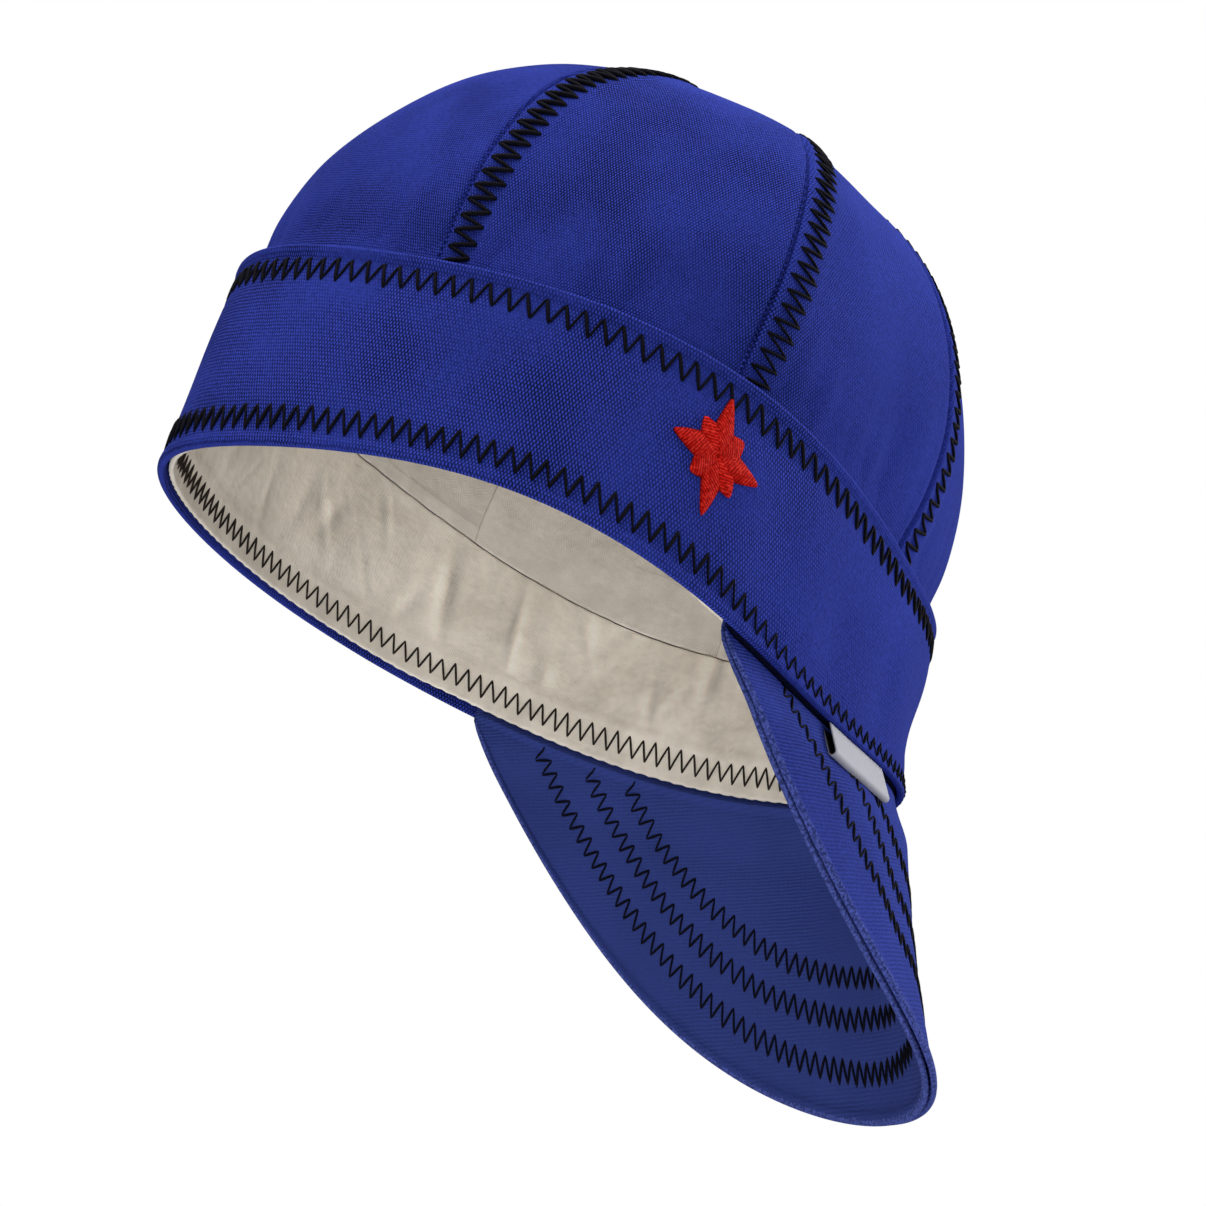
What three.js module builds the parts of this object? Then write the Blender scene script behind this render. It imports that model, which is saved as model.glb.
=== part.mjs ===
// Welding cap: a six-panel crown on a tall band, lined in cotton, with a soft two-ply brim.
// Millimetres. +Z is up, the brim points to -Y, +X is the wearer's left, and the origin is the
// centre of the head opening at rim level. A turn is an angle round the head: 0 at the brim's
// middle, 90 degrees at +X and 180 at the back.

import * as THREE from "three";

// Head opening: the ellipse that the rim is drawn round.
const RIM_WIDTH = 182.4;
const RIM_LENGTH = 200.7;

// Band and crown.
const BAND_HEIGHT = 51.2;
const BAND_WALL = 1.6;
const BAND_EDGE_ROUND = 0.5;
const BAND_BOW = 1.1;
const CROWN_RISE = 90;
const CROWN_WALL = 1.2;
const CROWN_TUCK = 8;
const CROWN_EASE = 16;
const CROWN_TOP_BACK = 2;
const PANEL_TIP_RADIUS = 1.2;

// Lining.
const LINING_WALL = 1;
const LINING_LIFT = 2.6;
const LINING_EASE = 9;
const LINING_SLACK = 0.25;
const JUNCTION_BELOW_TOP = 11.7;
const LINING_FOLD_DEPTH = 2;

// Brim.
const BRIM_DROP = 63.6;
const BRIM_END_DROP = 1.5;
const BRIM_PLY = 1.1;
const BRIM_TUCK = 5;
const BRIM_EASE = 14;
const BRIM_ROLL_WIDTH = 3;
const BRIM_ROLL_PROUD = 0.5;

// Tag and emblem.
const TAG_LENGTH = 32;
const TAG_DROP = 9.1;
const TAG_WALL = 1;
const EMBLEM_WIDTH = 23;
const EMBLEM_HEIGHT = 29;
const EMBLEM_THICKNESS = 0.9;
const EMBLEM_UP = 30.5;

// Space kept between two pieces that touch.
const GAP = 0.3;

// Angles in degrees.
const SEAM_TURNS = [41.4, 87.2, 135.7];
const BRIM_HALF_TURN = 78.5;
const TAG_TURN = -43;
const TAG_LEAN = 36;
const LINING_TURN_CLEAR = 2;
const LINING_TURN_EASE = 14;
const EMBLEM_TURN = -88;

// Shape shares. The crown's outline and profile are superellipses, and its panels are flatter
// than the round between two seams.
const CROWN_PLAN_POWER = 2.33;
const CROWN_PROFILE_POWER = 2.59;
const PANEL_FLATNESS = 0.057;
const PANEL_HUMP_POWER = 0.7;
const DENT_FADE = 1.5;
const BRIM_OUTLINE_POWER = 2.13;
const BRIM_TAPER_POWER = 1.244;
const BRIM_ROOT_LEAN = 0.354;
const EMBLEM_RAYS = 8;
const EMBLEM_SHORT_RAY = 0.66;
const EMBLEM_VALLEY = 0.4;

// The rim and the band's top. Width, length and shift to the back are shares of the opening's.
// Egg and square bend the ellipse. Alike and unlike are the ring's rise and fall once, twice,
// three and four times round, the same or opposite on the two sides. They and the level are
// shares of the band's height.
const RINGS = {
  rim: { width: 1, length: 1, shift: 0, egg: 0.02, square: 0.022, level: -0.023,
    alike: [0, -0.009, 0.047, 0.014], unlike: [0.01, 0.012, 0.004, -0.013] },
  top: { width: 0.9565, length: 0.969, shift: 0.029, egg: 0.02, square: 0.02, level: 0.98,
    alike: [-0.042, -0.02, -0.014, 0], unlike: [0.008, 0.038, 0.043, 0] },
};

// Rise and fall of the junction, the seam between the two linings, as shares of its height.
const JUNCTION_WAVES = { once: -0.08, twice: -0.07, thrice: 0.085 };

// Soft dents in the band. Turn and spread are degrees, level and reach shares of the band's
// height, and out is how far the dent stands out, a share of the band's height.
const BAND_DENTS = [
  { turn: -4, spread: 22, level: 0.34, reach: 0.3, out: -0.06 },
  { turn: -30, spread: 16, level: 0.55, reach: 0.35, out: 0.016 },
  { turn: -72, spread: 9, level: 0.5, reach: 0.5, out: 0.012 },
  { turn: 42, spread: 22, level: 0.45, reach: 0.35, out: -0.03 },
  { turn: 150, spread: 20, level: 0.5, reach: 0.35, out: -0.02 },
];

// Soft dents in the crown. Rise and reach are shares of the way from the band to the top, and
// out is a share of the crown's rise.
const CROWN_DENTS = [
  { turn: -60, spread: 13, rise: 0.3, reach: 0.2, out: -0.016 },
  { turn: -110, spread: 15, rise: 0.22, reach: 0.16, out: -0.014 },
  { turn: 0, spread: 18, rise: 0.3, reach: 0.2, out: -0.014 },
  { turn: 60, spread: 14, rise: 0.26, reach: 0.2, out: -0.018 },
  { turn: 112, spread: 14, rise: 0.3, reach: 0.18, out: -0.014 },
  { turn: 180, spread: 20, rise: 0.26, reach: 0.2, out: -0.016 },
];

// Soft upright folds of the band lining. Depth is a share of the deepest fold.
const LINING_FOLDS = [
  { turn: 24, spread: 5, depth: 0.5 },
  { turn: 48, spread: 6, depth: 0.6 },
  { turn: 75, spread: 4, depth: 1 },
  { turn: 88, spread: 6, depth: 0.5 },
  { turn: 112, spread: 7, depth: 0.7 },
  { turn: 146, spread: 8, depth: 0.6 },
  { turn: 172, spread: 7, depth: 0.5 },
  { turn: 206, spread: 8, depth: 0.7 },
  { turn: 244, spread: 7, depth: 0.5 },
  { turn: 282, spread: 6, depth: 0.6 },
  { turn: 322, spread: 7, depth: 0.6 },
];

// The brim's way down from the rim. Lean turns it to the sides, and bend curls it as it drops.
// Both are shares of its drop.
const BRIM_LEAN = { once: -0.165, twice: 0.306 };
const BRIM_BEND = { sideways: 0.121, forward: -0.213, down: -0.166 };

// How proud the brim's rolled edge stands in each of its rows, as shares of its full height.
const BRIM_ROLL_SHAPE = [0.2, 1, 0.2];

// Rows of the band, as shares of its height.
const BAND_LEVELS = [0, 0.02, 0.1, 0.24, 0.42, 0.6, 0.8, 0.98, 1];

// Rows of a crown panel, as shares of the way from the band's top to the panels' meeting point.
const CROWN_ROWS = [0, 0.035, 0.09, 0.18, 0.29, 0.42, 0.56, 0.71, 0.85, 0.95];

// Facets round the head, and degrees that one facet of a crown panel covers.
const RING_FACETS = 72;
const LINING_FACETS = 80;
const PANEL_FACET = 8;
const LINING_ROWS = 4;
const BRIM_FACETS = 24;
const ROLL_ROWS = 2;
const BRIM_ROWS = 5;
const TUCK_ROWS = 2;
const BRIM_END_CROWDING = 0.3;
const TAG_FACETS = 6;
const RAY_FACETS = 4;
const EMBLEM_ROWS = 3;

const canvasBlue = { color: 0x2f3f9e, roughness: 0.85, metalness: 0 };
const brimBlue = { color: 0x2c3a86, roughness: 0.9, metalness: 0 };
const liningCream = { color: 0xd2c8b4, roughness: 0.9, metalness: 0 };
const tagGrey = { color: 0xc9c9cf, roughness: 0.7, metalness: 0 };
const threadRed = { color: 0xc8281c, roughness: 0.5, metalness: 0 };

const cap = new THREE.Group();

function radians(degrees) {
  return THREE.MathUtils.degToRad(degrees);
}

// A smooth step from 0 to 1 as x goes from low to high.
function ease(x, low, high) {
  return THREE.MathUtils.smoothstep(x, low, high);
}

// A bell of height 1 round a centre.
function bell(distance, spread) {
  return Math.exp(-((distance / spread) ** 2));
}

// The angle from one turn to another the short way, in degrees.
function turnApart(turn, centre) {
  const apart = THREE.MathUtils.radToDeg(turn) - centre;
  return apart - 360 * Math.round(apart / 360);
}

// Adds the closed skin between two grids of points as a named mesh. Columns run round the head
// and rows run up. The face grid looks out and the back grid looks in.
function addSheet(name, finish, columns, rows, faceAt, backAt, closesRound = false) {
  const across = closesRound ? columns : columns + 1;
  const points = [];
  for (const pointAt of [faceAt, backAt]) {
    for (let i = 0; i < across; i++) {
      for (let j = 0; j <= rows; j++) points.push(pointAt(i, j));
    }
  }
  const face = (i, j) => (i % across) * (rows + 1) + j;
  const back = (i, j) => across * (rows + 1) + face(i, j);
  const index = [];
  for (let i = 0; i < columns; i++) {
    for (let j = 0; j < rows; j++) {
      pushQuad(index, face(i, j), face(i + 1, j), face(i + 1, j + 1), face(i, j + 1));
      pushQuad(index, back(i, j), back(i, j + 1), back(i + 1, j + 1), back(i + 1, j));
    }
    pushQuad(index, face(i + 1, 0), face(i, 0), back(i, 0), back(i + 1, 0));
    pushQuad(index, face(i, rows), face(i + 1, rows), back(i + 1, rows), back(i, rows));
  }
  if (!closesRound) {
    for (let j = 0; j < rows; j++) {
      pushQuad(index, face(0, j), face(0, j + 1), back(0, j + 1), back(0, j));
      pushQuad(index, face(columns, j + 1), face(columns, j), back(columns, j), back(columns, j + 1));
    }
  }
  addMesh(name, finish, points, index);
}

// Adds the quad a-b-c-d to an index as two triangles.
function pushQuad(index, a, b, c, d) {
  index.push(a, b, c, a, c, d);
}

function addMesh(name, finish, points, index) {
  const geometry = new THREE.BufferGeometry().setFromPoints(points);
  geometry.setIndex(index);
  geometry.computeVertexNormals();
  const mesh = new THREE.Mesh(geometry, new THREE.MeshStandardMaterial(finish));
  mesh.name = name;
  cap.add(mesh);
}

// A point of the rim or of the band's top.
function ringPoint(ring, turn) {
  const lobe = 1 + ring.egg * Math.cos(3 * turn) + ring.square * Math.cos(4 * turn);
  let wave = 0;
  ring.alike.forEach((share, k) => { wave += share * Math.cos((k + 1) * turn); });
  ring.unlike.forEach((share, k) => { wave += share * Math.sin((k + 1) * turn); });
  return new THREE.Vector3(
    (RIM_WIDTH / 2) * ring.width * Math.sin(turn) * lobe,
    RIM_LENGTH * ring.shift - (RIM_LENGTH / 2) * ring.length * Math.cos(turn) * lobe,
    BAND_HEIGHT * (ring.level + wave),
  );
}

// The band's face before its bow and dents.
function bandLine(turn, level) {
  return ringPoint(RINGS.rim, turn).lerp(ringPoint(RINGS.top, turn), level);
}

// The level direction out of the cloth at a turn.
function outwardAt(turn, level) {
  const step = 1e-3;
  const along = bandLine(turn + step, level).sub(bandLine(turn - step, level));
  return new THREE.Vector3(along.y, -along.x, 0).normalize();
}

// The band's face: level is 0 at the rim and 1 at the folded top edge.
function bandFace(turn, level) {
  const inside = THREE.MathUtils.clamp(4 * level * (1 - level), 0, 1);
  let out = BAND_BOW * inside;
  for (const dent of BAND_DENTS) {
    out += BAND_HEIGHT * dent.out * Math.min(1, DENT_FADE * inside)
      * bell(turnApart(turn, dent.turn), dent.spread) * bell(level - dent.level, dent.reach);
  }
  return bandLine(turn, level).addScaledVector(outwardAt(turn, level), out);
}

// The crown as a smooth dome over the band's top: rise is 0 at the band and 1 at the middle.
function crownDome(turn, rise) {
  const base = ringPoint(RINGS.top, turn);
  const quarter = (THREE.MathUtils.clamp(rise, 0, 1) * Math.PI) / 2;
  const round = Math.cos(quarter) ** (2 / CROWN_PLAN_POWER);
  const up = Math.sin(quarter) ** (2 / CROWN_PROFILE_POWER);
  const axis = new THREE.Vector3(0, CROWN_TOP_BACK, BAND_HEIGHT + CROWN_RISE);
  return new THREE.Vector3(
    base.x * round,
    axis.y + (base.y - axis.y) * round,
    THREE.MathUtils.lerp(base.z, axis.z, up),
  );
}

// The direction out of the dome.
function crownOutward(turn, rise) {
  const step = 1e-3;
  const low = Math.max(rise - step, 1e-4);
  const round = crownDome(turn + step, rise + step).sub(crownDome(turn - step, rise + step));
  const up = crownDome(turn, rise + step).sub(crownDome(turn, low));
  return round.cross(up).normalize();
}

// The turns of all six seams in order, in degrees, from the right back seam round by the front.
const SEAMS = [...SEAM_TURNS.map((turn) => -turn).reverse(), ...SEAM_TURNS];

// How flat a panel lies at a turn: 0 at a seam and 1 midway between two.
function betweenSeams(turn) {
  const wrapped = [...SEAMS, SEAMS[0] + 360];
  const first = SEAMS[0];
  const degrees = first + THREE.MathUtils.euclideanModulo(turnApart(turn, 0) - first, 360);
  const next = wrapped.findIndex((seam) => seam > degrees);
  const share = (degrees - wrapped[next - 1]) / (wrapped[next] - wrapped[next - 1]);
  return 4 * share * (1 - share);
}

// The crown's face, with its flat panels and dents.
function crownFace(turn, rise) {
  const hump = Math.sin(Math.PI * THREE.MathUtils.clamp(rise, 0, 1)) ** PANEL_HUMP_POWER;
  const keep = 1 - PANEL_FLATNESS * betweenSeams(turn) * hump;
  const point = crownDome(turn, rise);
  point.x *= keep;
  point.y = CROWN_TOP_BACK + (point.y - CROWN_TOP_BACK) * keep;
  let out = 0;
  for (const dent of CROWN_DENTS) {
    out += CROWN_RISE * dent.out * hump
      * bell(turnApart(turn, dent.turn), dent.spread) * bell(rise - dent.rise, dent.reach);
  }
  return point.addScaledVector(crownOutward(turn, rise), out);
}

// A point of the whole wall, at a depth behind its face. Run is the band's level up to 1, and
// from there on 1 more than the crown's rise.
function wallPoint(turn, run, depth) {
  if (run <= 1) return bandFace(turn, run).addScaledVector(outwardAt(turn, run), -depth);
  return crownFace(turn, run - 1).addScaledVector(crownOutward(turn, run - 1), -depth);
}

// The level of the band at a height above the origin.
function levelAt(turn, height) {
  const low = ringPoint(RINGS.rim, turn).z;
  const high = ringPoint(RINGS.top, turn).z;
  return (height - low) / (high - low);
}

const TUCK_LEVEL = 1 - CROWN_TUCK / BAND_HEIGHT;
const ROOT_LEVEL = (BRIM_TUCK + GAP) / BAND_HEIGHT;
const BEHIND_BAND = BAND_WALL + GAP;
const BEHIND_CROWN = BEHIND_BAND + CROWN_WALL + GAP;
const BRIM_THICKNESS = 2 * BRIM_PLY + GAP;

// How deep the crown's cloth lies: behind the band's fold, then out to the full dome.
function crownDepth(run) {
  return BEHIND_BAND * (1 - ease(run, 1, 1 + CROWN_EASE / CROWN_RISE));
}

function addBand() {
  const last = BAND_LEVELS.length - 1;
  const turnAt = (i) => (2 * Math.PI * i) / RING_FACETS;
  const rounding = (j) => (j === 0 || j === last ? BAND_EDGE_ROUND : 0);
  addSheet("band", canvasBlue, RING_FACETS, last,
    (i, j) => wallPoint(turnAt(i), BAND_LEVELS[j], rounding(j)),
    (i, j) => wallPoint(turnAt(i), BAND_LEVELS[j], BAND_WALL - rounding(j)), true);
}

// Turn of a column of a panel between two seams, kept half a gap clear of each seam.
function panelTurn(from, to, share, run) {
  const middle = crownDome(radians((from + to) / 2), run - 1);
  const clear = GAP / 2 / Math.hypot(middle.x, middle.y - CROWN_TOP_BACK);
  return THREE.MathUtils.lerp(radians(from) + clear, radians(to) - clear, share);
}

// The rise at which a panel ends, short of the middle by the tip's radius.
function tipRise() {
  const share = (2 * PANEL_TIP_RADIUS) / RIM_WIDTH;
  return (2 / Math.PI) * Math.acos(share ** (CROWN_PLAN_POWER / 2));
}

function addPanel(name, finish, from, to, runs, depthAt, wall) {
  const columns = Math.round((to - from) / PANEL_FACET);
  const place = (i, j, depth) => {
    const nominal = radians(THREE.MathUtils.lerp(from, to, i / columns));
    const run = runs(j, nominal);
    return wallPoint(panelTurn(from, to, i / columns, run), run, depthAt(run) + depth);
  };
  addSheet(name, finish, columns, runs.count - 1,
    (i, j) => place(i, j, 0),
    (i, j) => place(i, j, wall));
}

const PANEL_NAMES = ["back_right", "front_right", "front", "front_left", "back_left", "back"];

// The six panels of the crown, and the six gores that line it from the junction seam up.
function addCrown() {
  const risen = [...CROWN_ROWS, tipRise()].map((rise) => 1 + rise);
  const panelRuns = (j) => (j === 0 ? TUCK_LEVEL : risen[j - 1]);
  panelRuns.count = risen.length + 1;
  const goreRuns = (j, turn) => {
    const low = junctionLevel(turn) + GAP / 2 / BAND_HEIGHT;
    if (j < 2) return THREE.MathUtils.lerp(low, 1, j / 2);
    return panelRuns(j - 1);
  };
  goreRuns.count = panelRuns.count + 1;
  PANEL_NAMES.forEach((name, n) => {
    const from = SEAMS[n];
    const to = n + 1 < SEAMS.length ? SEAMS[n + 1] : SEAMS[0] + 360;
    addPanel("crown_panel_" + name, canvasBlue, from, to, panelRuns, crownDepth, CROWN_WALL);
    addPanel("crown_lining_" + name, liningCream, from, to, goreRuns,
      (run) => crownDepth(run) + CROWN_WALL + GAP, LINING_WALL);
  });
}

// The level of the seam between the two linings.
function junctionLevel(turn) {
  const waves = JUNCTION_WAVES;
  const height = BAND_HEIGHT - JUNCTION_BELOW_TOP;
  return levelAt(turn, height * (1 + waves.once * Math.cos(turn)
    + waves.twice * Math.cos(2 * turn) + waves.thrice * Math.cos(3 * turn)));
}

// How much of the brim's thickness lies behind the band at a turn: 1 over the brim, 0 beyond it.
function brimBehind(turn) {
  const apart = Math.abs(turnApart(turn, 0));
  return 1 - ease(apart, BRIM_HALF_TURN + LINING_TURN_CLEAR, BRIM_HALF_TURN + LINING_TURN_EASE);
}

// How deep the band lining lies: over the brim's root at the rim, over the crown's edge above.
function liningDepth(turn, run) {
  const atRim = BEHIND_BAND + brimBehind(turn) * (BRIM_THICKNESS + GAP);
  const rise = ease(run, ROOT_LEVEL, TUCK_LEVEL - LINING_EASE / BAND_HEIGHT);
  return LINING_SLACK + THREE.MathUtils.lerp(atRim, BEHIND_CROWN, rise);
}

function foldDepth(turn, share) {
  let depth = 0;
  for (const fold of LINING_FOLDS) {
    depth += fold.depth * bell(turnApart(turn, fold.turn), fold.spread);
  }
  return LINING_FOLD_DEPTH * depth * Math.sin(Math.PI * share);
}

function addBandLining() {
  const turnAt = (i) => (2 * Math.PI * i) / LINING_FACETS;
  const place = (i, j, depth) => {
    const turn = turnAt(i);
    const high = junctionLevel(turn) - GAP / 2 / BAND_HEIGHT;
    const share = Math.max(0, (j - 1) / LINING_ROWS);
    const run = j ? THREE.MathUtils.lerp(ROOT_LEVEL, high, share) : LINING_LIFT / BAND_HEIGHT;
    return wallPoint(turn, run, liningDepth(turn, run) + foldDepth(turn, share) + depth);
  };
  addSheet("band_lining", liningCream, LINING_FACETS, LINING_ROWS + 1,
    (i, j) => place(i, j, 0),
    (i, j) => place(i, j, LINING_WALL), true);
}

// How far the brim drops from the rim at a turn.
function brimDropAt(turn) {
  const share = Math.min(1, Math.abs(turn) / radians(BRIM_HALF_TURN));
  const full = (1 - share ** BRIM_OUTLINE_POWER) ** (1 / BRIM_TAPER_POWER);
  return BRIM_END_DROP + (BRIM_DROP - BRIM_END_DROP) * full;
}

// The middle of the brim's cloth, at a drop below the rim.
function brimMiddle(turn, drop) {
  const way = new THREE.Vector3(
    BRIM_LEAN.once * Math.sin(turn) + BRIM_LEAN.twice * Math.sin(2 * turn), -BRIM_ROOT_LEAN, -1,
  ).normalize();
  const curl = BRIM_DROP * (drop / BRIM_DROP) ** 2;
  return ringPoint(RINGS.rim, turn).addScaledVector(way, drop).add(new THREE.Vector3(
    BRIM_BEND.sideways * Math.sin(turn), BRIM_BEND.forward, BRIM_BEND.down,
  ).multiplyScalar(curl));
}

// The direction out of the brim, which is level where the brim leaves the band.
function brimOutward(turn, drop) {
  const step = 1e-2;
  const round = brimMiddle(turn + step, drop).sub(brimMiddle(turn - step, drop));
  const up = brimMiddle(turn, drop).sub(brimMiddle(turn, drop + step));
  return outwardAt(turn, 0).lerp(round.cross(up).normalize(), ease(drop, 0, BRIM_EASE)).normalize();
}

// A point of the brim at a depth behind the face of its outer ply. Behind the band it runs up
// beside it, and below the rim it eases out from under the band.
function brimPoint(turn, drop, depth) {
  if (drop <= 0) return wallPoint(turn, -drop / BAND_HEIGHT, BEHIND_BAND + depth);
  const inset = (BEHIND_BAND + BRIM_THICKNESS / 2) * (1 - ease(drop, 0, BRIM_EASE));
  const behind = inset - BRIM_THICKNESS / 2 + depth;
  return brimMiddle(turn, drop).addScaledVector(brimOutward(turn, drop), -behind);
}

function addBrim() {
  const turnAt = (i) => {
    const even = (2 * i) / BRIM_FACETS - 1;
    const crowded = Math.sin((even * Math.PI) / 2);
    return radians(BRIM_HALF_TURN) * THREE.MathUtils.lerp(even, crowded, BRIM_END_CROWDING);
  };
  const rollWidth = (edge) => Math.min(BRIM_ROLL_WIDTH, edge / 3);
  const dropAt = (turn, j) => {
    const edge = brimDropAt(turn);
    const roll = rollWidth(edge);
    if (j <= ROLL_ROWS) return edge - (j * roll) / ROLL_ROWS;
    if (j <= ROLL_ROWS + BRIM_ROWS) return (edge - roll) * (1 - (j - ROLL_ROWS) / BRIM_ROWS);
    return (-BRIM_TUCK * (j - ROLL_ROWS - BRIM_ROWS)) / TUCK_ROWS;
  };
  const plies = [
    { name: "brim_outer", face: 0, rollsOut: true },
    { name: "brim_inner", face: BRIM_PLY + GAP, rollsOut: false },
  ];
  for (const ply of plies) {
    const place = (i, j, isFace) => {
      const turn = turnAt(i);
      const share = rollWidth(brimDropAt(turn)) / BRIM_ROLL_WIDTH;
      const roll = (BRIM_ROLL_SHAPE[j] ?? 0) * BRIM_ROLL_PROUD * share;
      const proud = isFace === ply.rollsOut ? roll : 0;
      const depth = ply.face + (isFace ? -proud : BRIM_PLY + proud);
      return brimPoint(turn, dropAt(turn, j), depth);
    };
    addSheet(ply.name, brimBlue, BRIM_FACETS, ROLL_ROWS + BRIM_ROWS + TUCK_ROWS,
      (i, j) => place(i, j, true),
      (i, j) => place(i, j, false));
  }
}

// The tag hangs from the seam at the band's lower edge and stands off the brim.
function addTag() {
  const middle = ringPoint(RINGS.rim, radians(TAG_TURN));
  const halfTurn = TAG_LENGTH / 2 / Math.hypot(middle.x, middle.y);
  const lean = radians(TAG_LEAN);
  const place = (i, share, depth) => {
    const turn = radians(TAG_TURN) + halfTurn * ((2 * i) / TAG_FACETS - 1);
    const out = outwardAt(turn, 0);
    const slope = (outward, upward) => out.clone().multiplyScalar(outward).setZ(upward);
    return wallPoint(turn, 0, 0).add(new THREE.Vector3(0, 0, -GAP))
      .addScaledVector(slope(Math.sin(lean), -Math.cos(lean)), TAG_DROP * (1 - share))
      .addScaledVector(slope(Math.cos(lean), Math.sin(lean)), -depth);
  };
  addSheet("side_tag", tagGrey, TAG_FACETS, 1,
    (i, j) => place(i, j, 0),
    (i, j) => place(i, j, j === 0 ? TAG_WALL / 2 : TAG_WALL));
}

// How far the emblem's outline reaches at a step round it, as a share of its half size. Long
// and short rays take turns.
function rayReach(step) {
  const ray = Math.round(step / RAY_FACETS);
  const offRay = 2 * Math.abs(step / RAY_FACETS - ray);
  return THREE.MathUtils.lerp(ray % 2 ? EMBLEM_SHORT_RAY : 1, EMBLEM_VALLEY, offRay);
}

// A raised patch that lies on the band: rings of facets round its middle, face and back.
function addEmblem() {
  const steps = EMBLEM_RAYS * RAY_FACETS;
  const radius = ringPoint(RINGS.rim, radians(EMBLEM_TURN)).length();
  const place = (ring, step, depth) => {
    const angle = (2 * Math.PI * step) / steps;
    const reach = (ring / EMBLEM_ROWS) * rayReach(step);
    const side = (EMBLEM_WIDTH / 2) * reach * Math.sin(angle);
    const up = EMBLEM_UP + (EMBLEM_HEIGHT / 2) * reach * Math.cos(angle);
    return wallPoint(radians(EMBLEM_TURN) + side / radius, up / BAND_HEIGHT, depth);
  };
  const points = [];
  for (const depth of [-GAP - EMBLEM_THICKNESS, -GAP]) {
    points.push(place(0, 0, depth));
    for (let ring = 1; ring <= EMBLEM_ROWS; ring++) {
      for (let step = 0; step < steps; step++) points.push(place(ring, step, depth));
    }
  }
  const backStart = points.length / 2;
  const face = (ring, step) => 1 + (ring - 1) * steps + (step % steps);
  const back = (ring, step) => backStart + face(ring, step);
  const index = [];
  for (let step = 0; step < steps; step++) {
    const next = step + 1;
    index.push(0, face(1, next), face(1, step));
    index.push(backStart, back(1, step), back(1, next));
    for (let ring = 1; ring < EMBLEM_ROWS; ring++) {
      pushQuad(index, face(ring, step), face(ring, next), face(ring + 1, next), face(ring + 1, step));
      pushQuad(index, back(ring, step), back(ring + 1, step), back(ring + 1, next), back(ring, next));
    }
    pushQuad(index, face(EMBLEM_ROWS, step), face(EMBLEM_ROWS, next),
      back(EMBLEM_ROWS, next), back(EMBLEM_ROWS, step));
  }
  addMesh("emblem", threadRed, points, index);
}

addBand();
addCrown();
addBandLining();
addBrim();
addTag();
addEmblem();

export default cap;
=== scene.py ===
from math import acos, copysign, cos, hypot, pi, radians, sin

import bpy
import numpy as np
from mathutils import Matrix, Vector


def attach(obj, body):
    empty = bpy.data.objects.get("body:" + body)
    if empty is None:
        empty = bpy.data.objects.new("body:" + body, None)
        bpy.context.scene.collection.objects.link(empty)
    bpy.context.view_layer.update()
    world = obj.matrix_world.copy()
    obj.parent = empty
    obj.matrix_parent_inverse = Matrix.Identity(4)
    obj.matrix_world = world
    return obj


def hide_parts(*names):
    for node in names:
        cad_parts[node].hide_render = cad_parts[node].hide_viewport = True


# A welding cap: six canvas panels on a tall stitched band, lined in muslin, with a two-ply brim.
# Lengths are millimetres and turns are radians until a mesh is made. A turn is an angle round
# the head: 0 at the brim's middle, a quarter at the wearer's left and a half at the back.

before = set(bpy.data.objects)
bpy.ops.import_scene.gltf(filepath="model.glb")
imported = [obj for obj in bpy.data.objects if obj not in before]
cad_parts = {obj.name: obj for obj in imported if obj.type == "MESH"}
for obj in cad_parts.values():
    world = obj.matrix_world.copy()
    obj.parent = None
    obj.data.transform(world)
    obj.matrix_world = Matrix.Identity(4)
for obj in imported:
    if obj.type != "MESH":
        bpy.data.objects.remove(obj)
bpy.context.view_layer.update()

MM = 0.001


def table(columns, *rows):
    """Rows as dicts, by the names of their columns."""
    return [dict(zip(columns.split(), row)) for row in rows]


# Driving sizes of the cap, as in the solids.
RIM_WIDTH = 182.4
RIM_LENGTH = 200.7
BAND_HEIGHT = 51.2
BAND_WALL = 1.6
BAND_BOW = 1.1
CROWN_RISE = 90
CROWN_WALL = 1.2
CROWN_TUCK = 8
CROWN_EASE = 16
CROWN_TOP_BACK = 2
LINING_WALL = 1
LINING_EASE = 9
LINING_SLACK = 0.25
JUNCTION_BELOW_TOP = 11.7
LINING_FOLD_DEPTH = 2
BRIM_DROP = 63.6
BRIM_END_DROP = 1.5
BRIM_PLY = 1.1
BRIM_TUCK = 5
BRIM_EASE = 14
TAG_LENGTH = 32
TAG_DROP = 9.1
EMBLEM_WIDTH = 23
EMBLEM_HEIGHT = 29
EMBLEM_UP = 30.5
GAP = 0.3

# The panels' tips and the lining's lower edge reach a little further than in the solids.
PANEL_TIP_RADIUS = 0.4
LINING_LIFT = 1.6

# Turns and leans in degrees.
SEAM_TURNS = [41.4, 87.2, 135.7]
BRIM_HALF_TURN = 78.5
TAG_TURN = -43
TAG_LEAN = 36
LINING_TURN_CLEAR = 2
LINING_TURN_EASE = 14
EMBLEM_TURN = -88

# Powers and shares that shape the crown, the brim and the emblem.
CROWN_PLAN_POWER = 2.33
CROWN_PROFILE_POWER = 2.59
PANEL_FLATNESS = 0.057
PANEL_HUMP_POWER = 0.7
DENT_FADE = 1.5
BRIM_OUTLINE_POWER = 2.13
BRIM_TAPER_POWER = 1.244
BRIM_ROOT_LEAN = 0.354
EMBLEM_RAYS = 8
EMBLEM_SHORT_RAY = 0.66
EMBLEM_VALLEY = 0.4

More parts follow.
